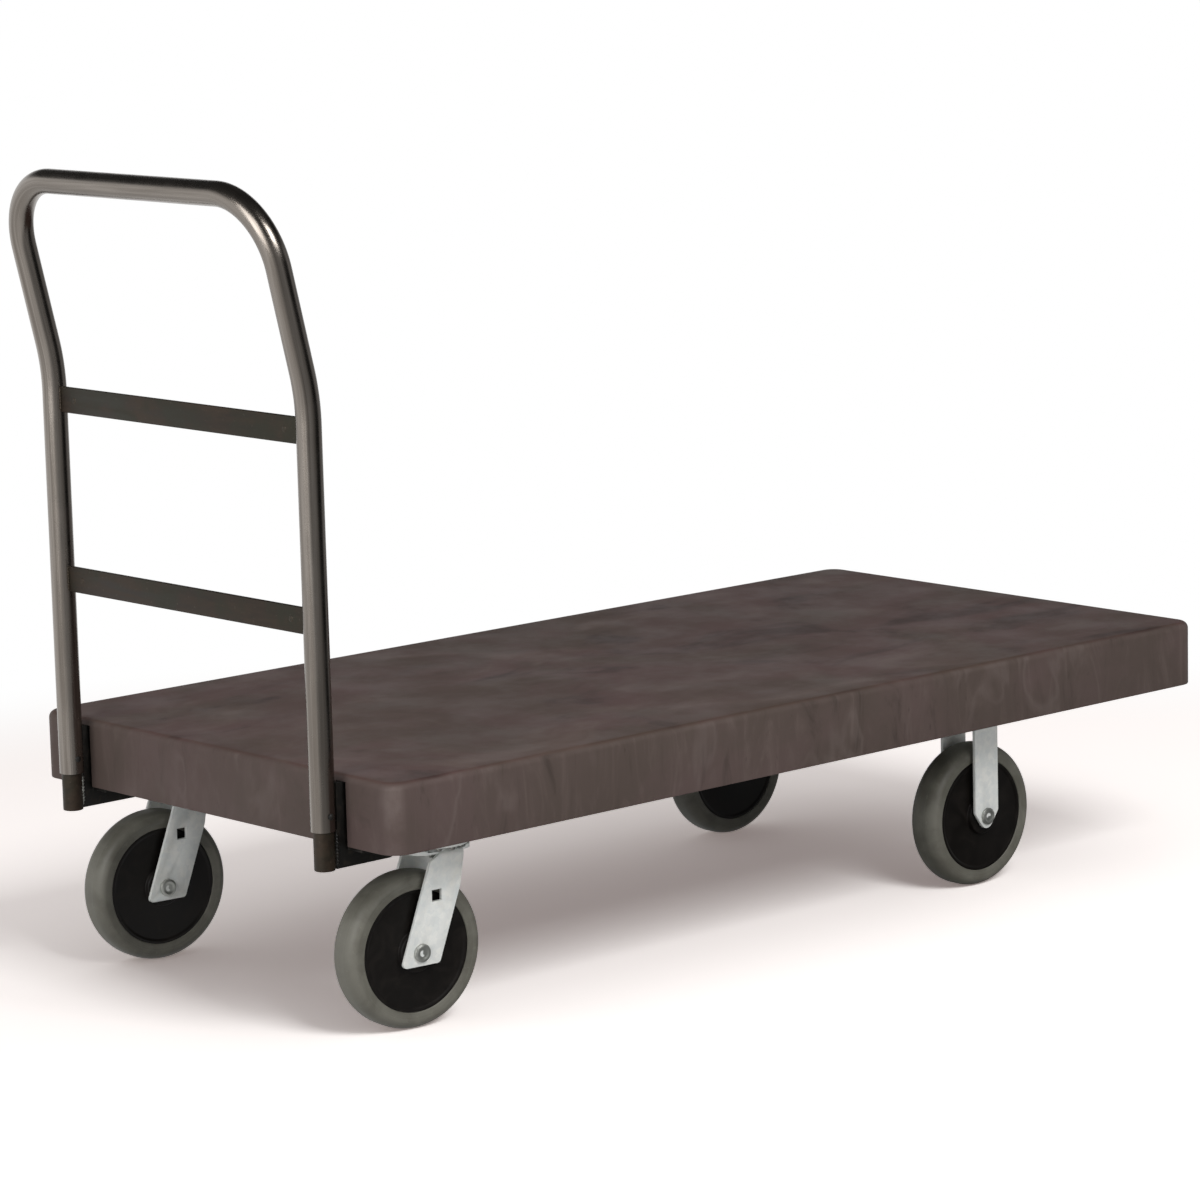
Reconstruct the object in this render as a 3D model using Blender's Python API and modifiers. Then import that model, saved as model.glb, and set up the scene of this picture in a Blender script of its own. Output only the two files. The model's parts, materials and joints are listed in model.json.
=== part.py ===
"""Platform cart: a ribbed moulded deck, a bent tube handle on two posts, two swivel and two rigid casters.

Metres, +Z up. +X is the front end and the handle stands at -X. Right is -Y and left is +Y, as the person
pushing sees it. The origin is on the floor, under the middle of the whole cart's box.
"""

import math

import bmesh
import bpy
from mathutils import Matrix, Vector

# Deck: one moulding with a top skin, side walls, ribs and solid pads
DECK_LENGTH = 1.500
DECK_WIDTH = 0.740
DECK_THICKNESS = 0.091
DECK_FRONT_CORNER = 0.028
DECK_REAR_CORNER = 0.028
DECK_EDGE_RADIUS = 0.010
DECK_SKIN = 0.010
DECK_WALL = 0.012
RIB_THICKNESS = 0.008
BAYS_ALONG = 10
BAYS_ACROSS = 5
PAD_MARGIN = 0.010

# Casters, from the floor up to the deck's underside. An inset runs from the deck's side to a piece's middle
CASTER_HEIGHT = 0.2525
SWIVEL_FROM_REAR = 0.150
SWIVEL_INSET = 0.104
SWIVEL_TRAIL = 0.047
SWIVEL_REST_ANGLE = math.radians(-5)
RIGID_FROM_FRONT = 0.352
RIGID_INSET = 0.118

# Wheel: a grey tyre bonded round a black core, with a plain bearing that turns on a steel sleeve
WHEEL_DIAMETER = 0.2032
TYRE_DEPTH = 0.0226
TYRE_WIDTH = 0.047
TREAD_CROWN = 0.012
TREAD_FLAT = 0.012
CORE_WIDTH = 0.043
CORE_DISH = 0.003
CORE_RIM_WIDTH = 0.008
BOSS_WIDTH = 0.053
BOSS_RADIUS = 0.026
BEARING_WALL = 0.0045
SLEEVE_WALL = 0.0026
AXLE_DIAMETER = 0.0127

# Forks and plates
FORK_GAP = 0.057
FORK_STEEL = 0.005
FORK_BEND = 0.010
LEG_WIDTH = 0.054
LEG_RAKE = math.radians(20)
LEG_BELOW_AXLE = 0.017
LEG_AHEAD_OF_AXLE = 0.005
LEG_CORNER = 0.005
LEG_FRONT = 0.0155
LEG_FLARE = 0.008
LEG_KINK_ROUND = 0.015
LEG_SHOULDER_DROP = 0.0125
LEG_SHOULDER_RUN = 0.024
CROWN_LENGTH = 0.092
CROWN_ROUND = 0.022
BRAKE_HOLE = 0.0150
BRAKE_HOLE_ABOVE_AXLE = 0.0705
RIGID_LEG_WIDTH = 0.046
RIGID_TAPER_START = 0.006
RIGID_TAPER_POINT = 0.026
RIGID_TIP_ROUND = 0.012
PLATE_LENGTH = 0.114
PLATE_WIDTH = 0.102
PLATE_STEEL = 0.006
PLATE_CORNER = 0.010
BOLT_SPACING_X = 0.092
BOLT_SPACING_Y = 0.072

# Swivel head
BALL_RADIUS = 0.004
BALL_CIRCLE_RADIUS = 0.036
BALL_COUNT = 12
CAGE_WIDTH = 0.003
CAGE_HEIGHT = 0.0016
RACE_GAP = 0.004
RACE_HEIGHT = 0.0134
RACE_WIDTH = 0.017
RACE_CHAMFER = 0.0025
RACE_GROOVE = 0.0022
KINGPIN_DIAMETER = 0.016
KINGPIN_HEAD_RADIUS = 0.0135
KINGPIN_HEAD_HEIGHT = 0.005
KINGPIN_NUT_RADIUS = 0.0135
KINGPIN_NUT_HEIGHT = 0.0085
KINGPIN_TAIL = 0.002

# Handle: one tube over two posts, with two flat bars between its legs
TUBE_DIAMETER = 0.032
TUBE_WALL = 0.0018
HANDLE_INSET = 0.104
HANDLE_STANDOFF = 0.0268
HANDLE_SETBACK = 0.058
HANDLE_HEIGHT = 1.082
HANDLE_BEND_HEIGHT = 0.817
HANDLE_BEND_RADIUS = 0.300
HANDLE_CORNER_RADIUS = 0.092
TUBE_END_HEIGHT = 0.276
BAR_WIDTH = 0.034
BAR_STEEL = 0.005
UPPER_BAR_HEIGHT = 0.775
LOWER_BAR_HEIGHT = 0.538
POST_BOTTOM = 0.226
POST_INSIDE_TUBE = 0.120
SCREW_ABOVE_TUBE_END = 0.020
SCREW_RADIUS = 0.0024
SCREW_REACH = 0.008
SCREW_HEAD_RADIUS = 0.0046
SCREW_HEAD_HEIGHT = 0.0022

# Bracket: a web on edge behind each post, in a notch of the deck's end, with a foot bolted under the deck
WEB_OUTSIDE_POST = 0.003
WEB_STEEL = 0.008
WEB_LENGTH = 0.082
WEB_TOP_DROP = 0.008
WEB_CHAMFER = 0.010
NOTCH_WIDTH = 0.020
NOTCH_DEPTH = 0.012
FOOT_WIDTH = 0.062
FOOT_STEEL = 0.005
FOOT_BOLT_OFFSET = 0.019

# Fasteners
BOLT_RADIUS = 0.0045
BOLT_HEAD_RADIUS = 0.0080
BOLT_HEAD_HEIGHT = 0.0055
BOLT_GRIP = 0.034
INSERT_STEEL = 0.006
INSERT_MARGIN = 0.012
FOOT_BOLT_GRIP = 0.030
NUT_RADIUS = 0.0115
NUT_HEIGHT = 0.0100
AXLE_TAIL = 0.002
AXLE_HEAD_RADIUS = 0.0118
AXLE_HEAD_HEIGHT = 0.0044
AXLE_HEAD_RIM = 0.0030
AXLE_HEAD_DISH = 0.0014

# Clearances, and the counts of flats that stand for a round
TOUCH = 0.0003
RUNNING = 0.0004
OVERCUT = 0.010
WELD = 0.000001
WHEEL_STEPS = 32
TREAD_STEPS = 3
ROUND_STEPS = 16
RACE_STEPS = 24
TUBE_SIDES = 14
TUBE_BEND_STEPS = 4
TUBE_CORNER_STEPS = 8
EDGE_STEPS = 3
BOLT_STEPS = 8
BALL_STEPS = 6
HEX = 6
ARC_STEP = math.radians(24)

# Places that follow from the sizes
handle_overhang = HANDLE_STANDOFF + HANDLE_SETBACK + TUBE_DIAMETER / 2
deck_front = (DECK_LENGTH + handle_overhang) / 2
deck_rear = deck_front - DECK_LENGTH
deck_bottom = CASTER_HEIGHT
deck_top = deck_bottom + DECK_THICKNESS
skin_bottom = deck_top - DECK_SKIN
handle_x = deck_rear - HANDLE_STANDOFF
handle_y = DECK_WIDTH / 2 - HANDLE_INSET
bracket_y = handle_y + WEB_OUTSIDE_POST
swivel_x = deck_rear + SWIVEL_FROM_REAR
swivel_y = DECK_WIDTH / 2 - SWIVEL_INSET
rigid_x = deck_front - RIGID_FROM_FRONT
rigid_y = DECK_WIDTH / 2 - RIGID_INSET
wheel_radius = WHEEL_DIAMETER / 2
plate_top = deck_bottom - TOUCH
plate_bottom = plate_top - PLATE_STEEL
race_top = plate_bottom - TOUCH
race_bottom = race_top - RACE_HEIGHT
crown_top = race_bottom - RACE_GAP
crown_bottom = crown_top - FORK_STEEL
fork_half = FORK_GAP / 2 + FORK_STEEL
kingpin_radius = KINGPIN_DIAMETER / 2
axle_radius = AXLE_DIAMETER / 2
tube_radius = TUBE_DIAMETER / 2
bolt_head_top = plate_bottom - TOUCH
insert_top = bolt_head_top + BOLT_GRIP

SIDES = (("right", -1), ("left", 1))
COLOURS = {
    "deck_foam": ((0.095, 0.079, 0.072), 0.72, 0.0),
    "handle_steel": ((0.42, 0.39, 0.36), 0.30, 1.0),
    "bar_steel": ((0.060, 0.054, 0.047), 0.50, 0.4),
    "bracket_black": ((0.020, 0.019, 0.017), 0.55, 0.0),
    "zinc": ((0.62, 0.64, 0.63), 0.38, 0.9),
    "tyre_grey": ((0.115, 0.115, 0.105), 0.62, 0.0),
    "core_black": ((0.012, 0.011, 0.010), 0.45, 0.0),
    "bearing_steel": ((0.45, 0.44, 0.42), 0.35, 1.0),
}
ABOUT_Y = Matrix(((1, 0, 0, 0), (0, 0, 1, 0), (0, -1, 0, 0), (0, 0, 0, 1)))

parts = bpy.data.collections.new("platform_cart")
cutters = bpy.data.collections.new("platform_cart_cutters")


def start_clean():
    """Empties the scene and links the two collections."""
    for item in list(bpy.data.objects):
        bpy.data.objects.remove(item)
    bpy.context.scene.collection.children.link(parts)
    bpy.context.scene.collection.children.link(cutters)


def material(slot):
    """The Principled material of one finish, made once."""
    found = bpy.data.materials.get(slot)
    if found:
        return found
    colour, roughness, metallic = COLOURS[slot]
    made = bpy.data.materials.new(slot)
    made.use_nodes = True
    shader = made.node_tree.nodes["Principled BSDF"]
    shader.inputs["Base Color"].default_value = (*colour, 1)
    shader.inputs["Roughness"].default_value = roughness
    shader.inputs["Metallic"].default_value = metallic
    return made


def add_part(name, mesh, slot, parent=None):
    """A named part from a mesh, smooth where it is round."""
    item = bpy.data.objects.new(name, mesh)
    parts.objects.link(item)
    mesh.materials.clear()
    mesh.materials.append(material(slot))
    mesh.shade_smooth()
    mesh.set_sharp_from_angle(angle=math.radians(30))
    item.parent = parent
    return item


def add_pivot(name, place, parent=None, turn=0.0):
    """An empty on a joint's axis, which carries a group of parts."""
    item = bpy.data.objects.new(name, None)
    parts.objects.link(item)
    item.location = place
    item.rotation_euler = (0, 0, turn)
    item.parent = parent
    return item


def mesh_from(bm, name):
    """A mesh from a bmesh, with its faces turned outwards. The bmesh is freed."""
    bmesh.ops.recalc_face_normals(bm, faces=bm.faces)
    mesh = bpy.data.meshes.new(name)
    bm.to_mesh(mesh)
    bm.free()
    return mesh


def evaluated_mesh(item, name):
    """The mesh of a curve or of a modified object, welded. The object is removed."""
    bpy.context.view_layer.update()
    graph = bpy.context.evaluated_depsgraph_get()
    mesh = bpy.data.meshes.new_from_object(item.evaluated_get(graph))
    bpy.data.objects.remove(item)
    bm = bmesh.new()
    bm.from_mesh(mesh)
    bmesh.ops.remove_doubles(bm, verts=bm.verts, dist=WELD)
    return mesh_from(bm, name)


def moved(mesh, x=0.0, y=0.0, z=0.0):
    """The mesh, shifted."""
    mesh.transform(Matrix.Translation((x, y, z)))
    return mesh


def box_mesh(name, low, high):
    """A box between two corners."""
    bm = bmesh.new()
    bmesh.ops.create_cube(bm, size=1)
    bmesh.ops.scale(bm, vec=[b - a for a, b in zip(low, high)], verts=bm.verts)
    bmesh.ops.translate(bm, vec=[(a + b) / 2 for a, b in zip(low, high)], verts=bm.verts)
    return mesh_from(bm, name)


def joined(name, meshes):
    """Several separate bodies in one mesh."""
    bm = bmesh.new()
    for mesh in meshes:
        bm.from_mesh(mesh)
        bpy.data.meshes.remove(mesh)
    return mesh_from(bm, name)


def prism_mesh(name, radius, low, high, sides, x=0.0, y=0.0):
    """A regular prism on Z, such as a bolt head or a shank, with a flat side facing +X."""
    bm = bmesh.new()
    bmesh.ops.create_cone(
        bm, cap_ends=True, segments=sides, radius1=radius, radius2=radius, depth=high - low
    )
    bmesh.ops.rotate(bm, verts=bm.verts, matrix=Matrix.Rotation(math.pi / sides, 3, "Z"))
    bmesh.ops.translate(bm, vec=(x, y, (low + high) / 2), verts=bm.verts)
    return mesh_from(bm, name)


def turned_mesh(name, profile, steps, about_y=False):
    """A profile of (radius, height) points carried round Z, or round Y, by a Screw modifier.

    A profile that starts and ends on the axis is left open there. The facets' middles face along the
    other two axes, so a wheel stands on a flat of its tread.
    """
    bm = bmesh.new()
    start = math.pi / steps
    line = [bm.verts.new((r * math.cos(start), r * math.sin(start), h)) for r, h in profile]
    for a, b in zip(line, line[1:]):
        bm.edges.new((a, b))
    if profile[0][0] > 0:
        bm.edges.new((line[-1], line[0]))
    mesh = bpy.data.meshes.new(name + "_profile")
    bm.to_mesh(mesh)
    bm.free()
    item = bpy.data.objects.new(name + "_profile", mesh)
    parts.objects.link(item)
    screw = item.modifiers.new("turn", "SCREW")
    screw.steps = steps
    screw.render_steps = steps
    screw.use_merge_vertices = True
    screw.merge_threshold = WELD
    made = evaluated_mesh(item, name)
    if about_y:
        made.transform(ABOUT_Y)
    return made


def clear(radius, steps):
    """The radius of a faceted hole that a round piece of this radius turns in."""
    return (radius + RUNNING) / math.cos(math.pi / steps)


def rounded(corners):
    """Points of an outline whose corners are (x, y, radius), an arc where the radius is above 0."""
    points = []
    for i, (x, y, radius) in enumerate(corners):
        here = Vector((x, y))
        if radius <= 0:
            points.append(here)
            continue
        back = (Vector(corners[i - 1][:2]) - here).normalized()
        ahead = (Vector(corners[(i + 1) % len(corners)][:2]) - here).normalized()
        half = back.angle(ahead) / 2
        centre = here + (back + ahead).normalized() * radius / math.sin(half)
        first = here + back * radius / math.tan(half) - centre
        last = here + ahead * radius / math.tan(half) - centre
        sweep = math.atan2(first.cross(last), first.dot(last))
        steps = max(2, math.ceil(abs(sweep) / ARC_STEP))
        points += [centre + Matrix.Rotation(sweep * step / steps, 2) @ first for step in range(steps + 1)]
    return points


def rectangle(x0, x1, y0, y1, radius=0.0):
    """A rectangle's corners for an outline."""
    return [(x0, y0, radius), (x1, y0, radius), (x1, y1, radius), (x0, y1, radius)]


def round_hole(x, y, radius, steps):
    """A round hole's corners for an outline."""
    turns = [2 * math.pi * (i + 0.5) / steps for i in range(steps)]
    return [(x + radius * math.cos(t), y + radius * math.sin(t), 0) for t in turns]


def outline_mesh(name, loops, low, high, plane="XY"):
    """A flat outline with holes, filled by a 2D curve and extruded from low to high across its plane."""
    data = bpy.data.curves.new(name, "CURVE")
    data.dimensions = "2D"
    data.fill_mode = "BOTH"
    data.extrude = (high - low) / 2
    for corners in loops:
        points = rounded(corners)
        spline = data.splines.new("POLY")
        spline.points.add(len(points) - 1)
        for point, place in zip(spline.points, points):
            point.co = (place.x, place.y, 0, 1)
        spline.use_cyclic_u = True
    item = bpy.data.objects.new(name, data)
    parts.objects.link(item)
    made = evaluated_mesh(item, name)
    middle = (low + high) / 2
    across = {
        "XY": ((1, 0, 0, 0), (0, 1, 0, 0), (0, 0, 1, middle)),
        "XZ": ((1, 0, 0, 0), (0, 0, 1, middle), (0, 1, 0, 0)),
        "YZ": ((0, 0, 1, middle), (1, 0, 0, 0), (0, 1, 0, 0)),
    }[plane]
    made.transform(Matrix((*across, (0, 0, 0, 1))))
    bm = bmesh.new()
    bm.from_mesh(made)
    return mesh_from(bm, name)


def combine(item, operation, *meshes):
    """Cuts, joins or keeps the common part of a part and each helper mesh, by live Booleans."""
    for mesh in meshes:
        helper = bpy.data.objects.new(item.name + "_" + mesh.name, mesh)
        cutters.objects.link(helper)
        helper.hide_render = True
        helper.display_type = "WIRE"
        helper.parent = item.parent
        helper.location = item.location
        boolean = item.modifiers.new(mesh.name, "BOOLEAN")
        boolean.operation = operation
        boolean.object = helper
    return item


def plate_bolt_places():
    """The four bolt places of a caster plate, from its middle."""
    return [(sx * BOLT_SPACING_X / 2, sy * BOLT_SPACING_Y / 2) for sx in (-1, 1) for sy in (-1, 1)]


def caster_places():
    """Each caster's name and the middle of its plate."""
    found = []
    for side, sign in SIDES:
        found.append(("rear_" + side, swivel_x, sign * swivel_y))
        found.append(("front_" + side, rigid_x, sign * rigid_y))
    return found


def foot_bolt_places():
    """Each bracket bolt's name and place."""
    found = []
    middle = deck_rear + (NOTCH_DEPTH + WEB_LENGTH) / 2
    for side, sign in SIDES:
        found.append((side + "_outer", middle, sign * (bracket_y + FOOT_BOLT_OFFSET)))
        found.append((side + "_inner", middle, sign * (bracket_y - FOOT_BOLT_OFFSET)))
    return found


def deck_pockets():
    """The outlines of the hollows between the ribs, rounded at the deck's corners."""
    along = (DECK_LENGTH - 2 * DECK_WALL + RIB_THICKNESS) / BAYS_ALONG
    across = (DECK_WIDTH - 2 * DECK_WALL + RIB_THICKNESS) / BAYS_ACROSS
    loops = []
    for i in range(BAYS_ALONG):
        for j in range(BAYS_ACROSS):
            x0 = deck_rear + DECK_WALL + i * along
            y0 = -DECK_WIDTH / 2 + DECK_WALL + j * across
            corners = rectangle(x0, x0 + along - RIB_THICKNESS, y0, y0 + across - RIB_THICKNESS)
            for place in range(4):
                x, y, _ = corners[place]
                at_side = (j == 0 and place < 2) or (j == BAYS_ACROSS - 1 and place > 1)
                if at_side and i == 0 and place in (0, 3):
                    corners[place] = (x, y, DECK_REAR_CORNER - DECK_WALL)
                if at_side and i == BAYS_ALONG - 1 and place in (1, 2):
                    corners[place] = (x, y, DECK_FRONT_CORNER - DECK_WALL)
            loops.append(corners)
    return loops


def make_deck():
    """The deck: a rounded slab, hollowed between ribs, with solid pads over the casters and brackets."""
    half = DECK_WIDTH / 2
    outline = [
        (deck_rear, -half, DECK_REAR_CORNER), (deck_front, -half, DECK_FRONT_CORNER),
        (deck_front, half, DECK_FRONT_CORNER), (deck_rear, half, DECK_REAR_CORNER),
    ]
    slab = outline_mesh("slab", [outline], deck_bottom, deck_top)
    bm = bmesh.new()
    bm.from_mesh(slab)
    bmesh.ops.dissolve_limit(bm, angle_limit=math.radians(1), verts=bm.verts, edges=bm.edges)
    rim = [edge for edge in bm.edges if all(abs(vert.co.z - deck_top) < WELD for vert in edge.verts)]
    bmesh.ops.bevel(
        bm, geom=rim, offset=DECK_EDGE_RADIUS, segments=EDGE_STEPS, profile=0.5, affect="EDGES"
    )
    deck = add_part("deck", mesh_from(bm, "deck"), "deck_foam")
    below = deck_bottom - OVERCUT
    combine(deck, "DIFFERENCE", outline_mesh("pockets", deck_pockets(), below, skin_bottom))

    pad_top = deck_top - DECK_SKIN / 2
    half_x = PLATE_LENGTH / 2 + PAD_MARGIN
    half_y = PLATE_WIDTH / 2 + PAD_MARGIN
    pads = []
    for _, x, y in caster_places():
        low = (x - half_x, y - half_y, deck_bottom)
        high = (x + half_x, y + half_y, pad_top)
        pads.append(box_mesh("pad", low, high))
    foot_pads = []
    notches = []
    for _, sign in SIDES:
        y = sign * bracket_y
        half_y = FOOT_WIDTH / 2 + PAD_MARGIN
        low = (deck_rear + DECK_WALL / 2, y - half_y, deck_bottom)
        high = (deck_rear + WEB_LENGTH + PAD_MARGIN, y + half_y, pad_top)
        foot_pads.append(box_mesh("pad", low, high))
        low = (deck_rear - OVERCUT, y - NOTCH_WIDTH / 2, below)
        high = (deck_rear + NOTCH_DEPTH, y + NOTCH_WIDTH / 2, deck_top - WEB_TOP_DROP)
        notches.append(box_mesh("notch", low, high))
    combine(deck, "UNION", joined("caster_pads", pads), joined("bracket_pads", foot_pads))

    bolt_holes = []
    insert_pockets = []
    for _, x, y in caster_places():
        for dx, dy in plate_bolt_places():
            place = dict(x=x + dx, y=y + dy)
            bolt_holes.append(
                prism_mesh("hole", BOLT_RADIUS + TOUCH, below, insert_top + TOUCH, BOLT_STEPS, **place)
            )
        half_x = BOLT_SPACING_X / 2 + INSERT_MARGIN + TOUCH
        half_y = BOLT_SPACING_Y / 2 + INSERT_MARGIN + TOUCH
        low = (x - half_x, y - half_y, insert_top - INSERT_STEEL - TOUCH)
        high = (x + half_x, y + half_y, insert_top + TOUCH / 2)
        insert_pockets.append(box_mesh("pocket", low, high))
    for _, x, y in foot_bolt_places():
        top = deck_bottom - TOUCH - FOOT_STEEL + FOOT_BOLT_GRIP
        bolt_holes.append(prism_mesh("hole", BOLT_RADIUS + TOUCH, below, top, BOLT_STEPS, x=x, y=y))
    room_radius = KINGPIN_HEAD_RADIUS + RUNNING
    room_top = plate_top + KINGPIN_HEAD_HEIGHT + TOUCH
    head_room = [
        prism_mesh("room", room_radius, below, room_top, ROUND_STEPS, x=swivel_x, y=sign * swivel_y)
        for _, sign in SIDES
    ]
    combine(
        deck, "DIFFERENCE", joined("notches", notches), joined("insert_pockets", insert_pockets),
        joined("bolt_holes", bolt_holes), joined("kingpin_rooms", head_room),
    )


def make_caster_bolts(name, x, y):
    """Four bolts up through a caster's plate, screwed into the tapped plate moulded into the deck's pad."""
    half_x = BOLT_SPACING_X / 2 + INSERT_MARGIN
    half_y = BOLT_SPACING_Y / 2 + INSERT_MARGIN
    low = (x - half_x, y - half_y, insert_top - INSERT_STEEL)
    high = (x + half_x, y + half_y, insert_top - TOUCH)
    plate = box_mesh("insert", low, high)
    head_low = bolt_head_top - BOLT_HEAD_HEIGHT
    inside_head = bolt_head_top - BOLT_HEAD_HEIGHT / 2
    shanks = []
    heads = []
    for dx, dy in plate_bolt_places():
        place = dict(x=x + dx, y=y + dy)
        shanks.append(prism_mesh("shank", BOLT_RADIUS, inside_head, insert_top, BOLT_STEPS, **place))
        heads.append(prism_mesh("head", BOLT_HEAD_RADIUS, head_low, bolt_head_top, HEX, **place))
    bolts = add_part("caster_bolts_" + name, plate, "zinc")
    combine(bolts, "UNION", joined("shanks", shanks), joined("heads", heads))


def make_foot_bolt(name, x, y):
    """One bolt that holds a bracket's foot up against the deck."""
    top = deck_bottom - TOUCH - FOOT_STEEL - TOUCH
    low = top - BOLT_HEAD_HEIGHT
    high = top + FOOT_BOLT_GRIP - TOUCH
    profile = [
        (0, low), (BOLT_HEAD_RADIUS, low), (BOLT_HEAD_RADIUS, top), (BOLT_RADIUS, top), (BOLT_RADIUS, high),
        (0, high),
    ]
    mesh = moved(turned_mesh("bracket_bolt_" + name, profile, BOLT_STEPS), x, y)
    add_part("bracket_bolt_" + name, mesh, "zinc")


def post_radius():
    """The largest round bar that slides up the faceted bore of the handle's tube."""
    return (tube_radius - TUBE_WALL) * math.cos(math.pi / TUBE_SIDES) - TOUCH


def make_bracket(side, sign):
    """A bracket: a web behind the post, up the deck's notch and under the deck, and a foot."""
    y = sign * bracket_y
    behind_post = handle_x + post_radius() + TOUCH
    behind_tube = handle_x + tube_radius + TOUCH
    notch_floor = deck_rear + NOTCH_DEPTH - TOUCH
    under_deck = deck_bottom - TOUCH
    inside_foot = under_deck - FOOT_STEEL / 2
    end = deck_rear + WEB_LENGTH
    web_top = deck_top - WEB_TOP_DROP - TOUCH
    tube_end = TUBE_END_HEIGHT - TOUCH
    outline = [
        (behind_post, POST_BOTTOM, 0), (end, POST_BOTTOM, WEB_CHAMFER), (end, inside_foot, 0),
        (notch_floor, inside_foot, 0), (notch_floor, web_top, 0), (behind_tube, web_top, 0),
        (behind_tube, tube_end, 0), (behind_post, tube_end, 0),
    ]
    name = "handle_bracket_" + side
    web = outline_mesh(name, [outline], y - WEB_STEEL / 2, y + WEB_STEEL / 2, "XZ")
    foot_loops = [rectangle(deck_rear + NOTCH_DEPTH / 2, end, y - FOOT_WIDTH / 2, y + FOOT_WIDTH / 2)]
    for _, bolt_x, bolt_y in foot_bolt_places():
        if bolt_y * sign > 0:
            foot_loops.append(round_hole(bolt_x, bolt_y, BOLT_RADIUS + TOUCH, BOLT_STEPS))
    bracket = add_part(name, web, "bracket_black")
    combine(bracket, "UNION", outline_mesh("foot", foot_loops, under_deck - FOOT_STEEL, under_deck))


def screw_profile(grow=0.0):
    """A handle screw about Z, its head's seat at 0 and its shank down, with a gap of grow round the shank."""
    return [
        (0, SCREW_HEAD_HEIGHT), (SCREW_HEAD_RADIUS, SCREW_HEAD_HEIGHT), (SCREW_HEAD_RADIUS, 0),
        (SCREW_RADIUS + grow, 0), (SCREW_RADIUS + grow, -SCREW_REACH - grow), (0, -SCREW_REACH - grow),
    ]


def screw_mesh(name, y, grow=0.0):
    """A handle screw in place on the -Y side of a leg at y."""
    mesh = turned_mesh(name, screw_profile(grow), BOLT_STEPS, about_y=True)
    mesh.transform(Matrix.Rotation(math.pi, 4, "Z"))
    return moved(mesh, handle_x, y - tube_radius - TOUCH, TUBE_END_HEIGHT + SCREW_ABOVE_TUBE_END)


def handle_path():
    """Points along the handle's tube, from the foot of the right leg over the top to the left leg."""
    top = Vector((-HANDLE_SETBACK, HANDLE_HEIGHT - tube_radius))
    elbow = Vector((0, HANDLE_BEND_HEIGHT))
    lean = (top - elbow).normalized()
    angle = Vector((0, 1)).angle(lean)
    cut = HANDLE_BEND_RADIUS * math.tan(angle / 2)
    side = [(0, TUBE_END_HEIGHT)]
    for step in range(TUBE_BEND_STEPS + 1):
        turn = angle * step / TUBE_BEND_STEPS
        x = -HANDLE_BEND_RADIUS * (1 - math.cos(turn))
        side.append((x, HANDLE_BEND_HEIGHT - cut + HANDLE_BEND_RADIUS * math.sin(turn)))
    right = [(handle_x + x, -handle_y, z) for x, z in side]
    for step in range(TUBE_CORNER_STEPS + 1):
        turn = math.pi / 2 * step / TUBE_CORNER_STEPS
        back = top - lean * HANDLE_CORNER_RADIUS * (1 - math.sin(turn))
        y = -handle_y + HANDLE_CORNER_RADIUS * (1 - math.cos(turn))
        right.append((handle_x + back.x, y, back.y))
    return right + [(x, -y, z) for x, y, z in reversed(right)]


def make_handle():
    """The handle: the bent tube, its two flat bars, its posts and their screws."""
    data = bpy.data.curves.new("handle_path", "CURVE")
    data.dimensions = "3D"
    data.bevel_depth = tube_radius
    data.bevel_resolution = TUBE_SIDES // 2 - 2
    spline = data.splines.new("POLY")
    points = handle_path()
    spline.points.add(len(points) - 1)
    for point, place in zip(spline.points, points):
        point.co = (*place, 1)
    item = bpy.data.objects.new("handle_path", data)
    parts.objects.link(item)
    tube = add_part("handle_tube", evaluated_mesh(item, "handle_tube"), "handle_steel")
    wall = tube.modifiers.new("wall", "SOLIDIFY")
    wall.thickness = TUBE_WALL
    wall.offset = -1
    holes = [screw_mesh("hole", sign * handle_y, RUNNING) for _, sign in SIDES]
    combine(tube, "DIFFERENCE", joined("screw_holes", holes))
    reach = handle_y - tube_radius - TOUCH
    for name, height in (("upper", UPPER_BAR_HEIGHT), ("lower", LOWER_BAR_HEIGHT)):
        low = (handle_x - BAR_STEEL / 2, -reach, height - BAR_WIDTH / 2)
        high = (handle_x + BAR_STEEL / 2, reach, height + BAR_WIDTH / 2)
        add_part("handle_bar_" + name, box_mesh("bar", low, high), "bar_steel")
    post_top = TUBE_END_HEIGHT + POST_INSIDE_TUBE
    for side, sign in SIDES:
        y = sign * handle_y
        bar = prism_mesh("post", post_radius(), POST_BOTTOM, post_top, ROUND_STEPS, x=handle_x, y=y)
        post = add_part("handle_post_" + side, bar, "bar_steel")
        combine(post, "DIFFERENCE", screw_mesh("screw_hole", y, RUNNING))
        add_part("handle_screw_" + side, screw_mesh("screw", y), "bracket_black")


def sleeve_radius():
    """The sleeve's outer radius, from the axle it slides over."""
    return clear(axle_radius, ROUND_STEPS) + SLEEVE_WALL


def bearing_bore():
    """The bearing's bore, free to turn on the sleeve."""
    return clear(sleeve_radius(), ROUND_STEPS)


def bearing_radius():
    """The bearing's outer radius, a seat in the core."""
    return bearing_bore() + BEARING_WALL


def ring(inner, outer, half):
    """The profile of a plain ring, from its inner to its outer radius and half its height each way."""
    return [(inner, half), (outer, half), (outer, -half), (inner, -half)]


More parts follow.
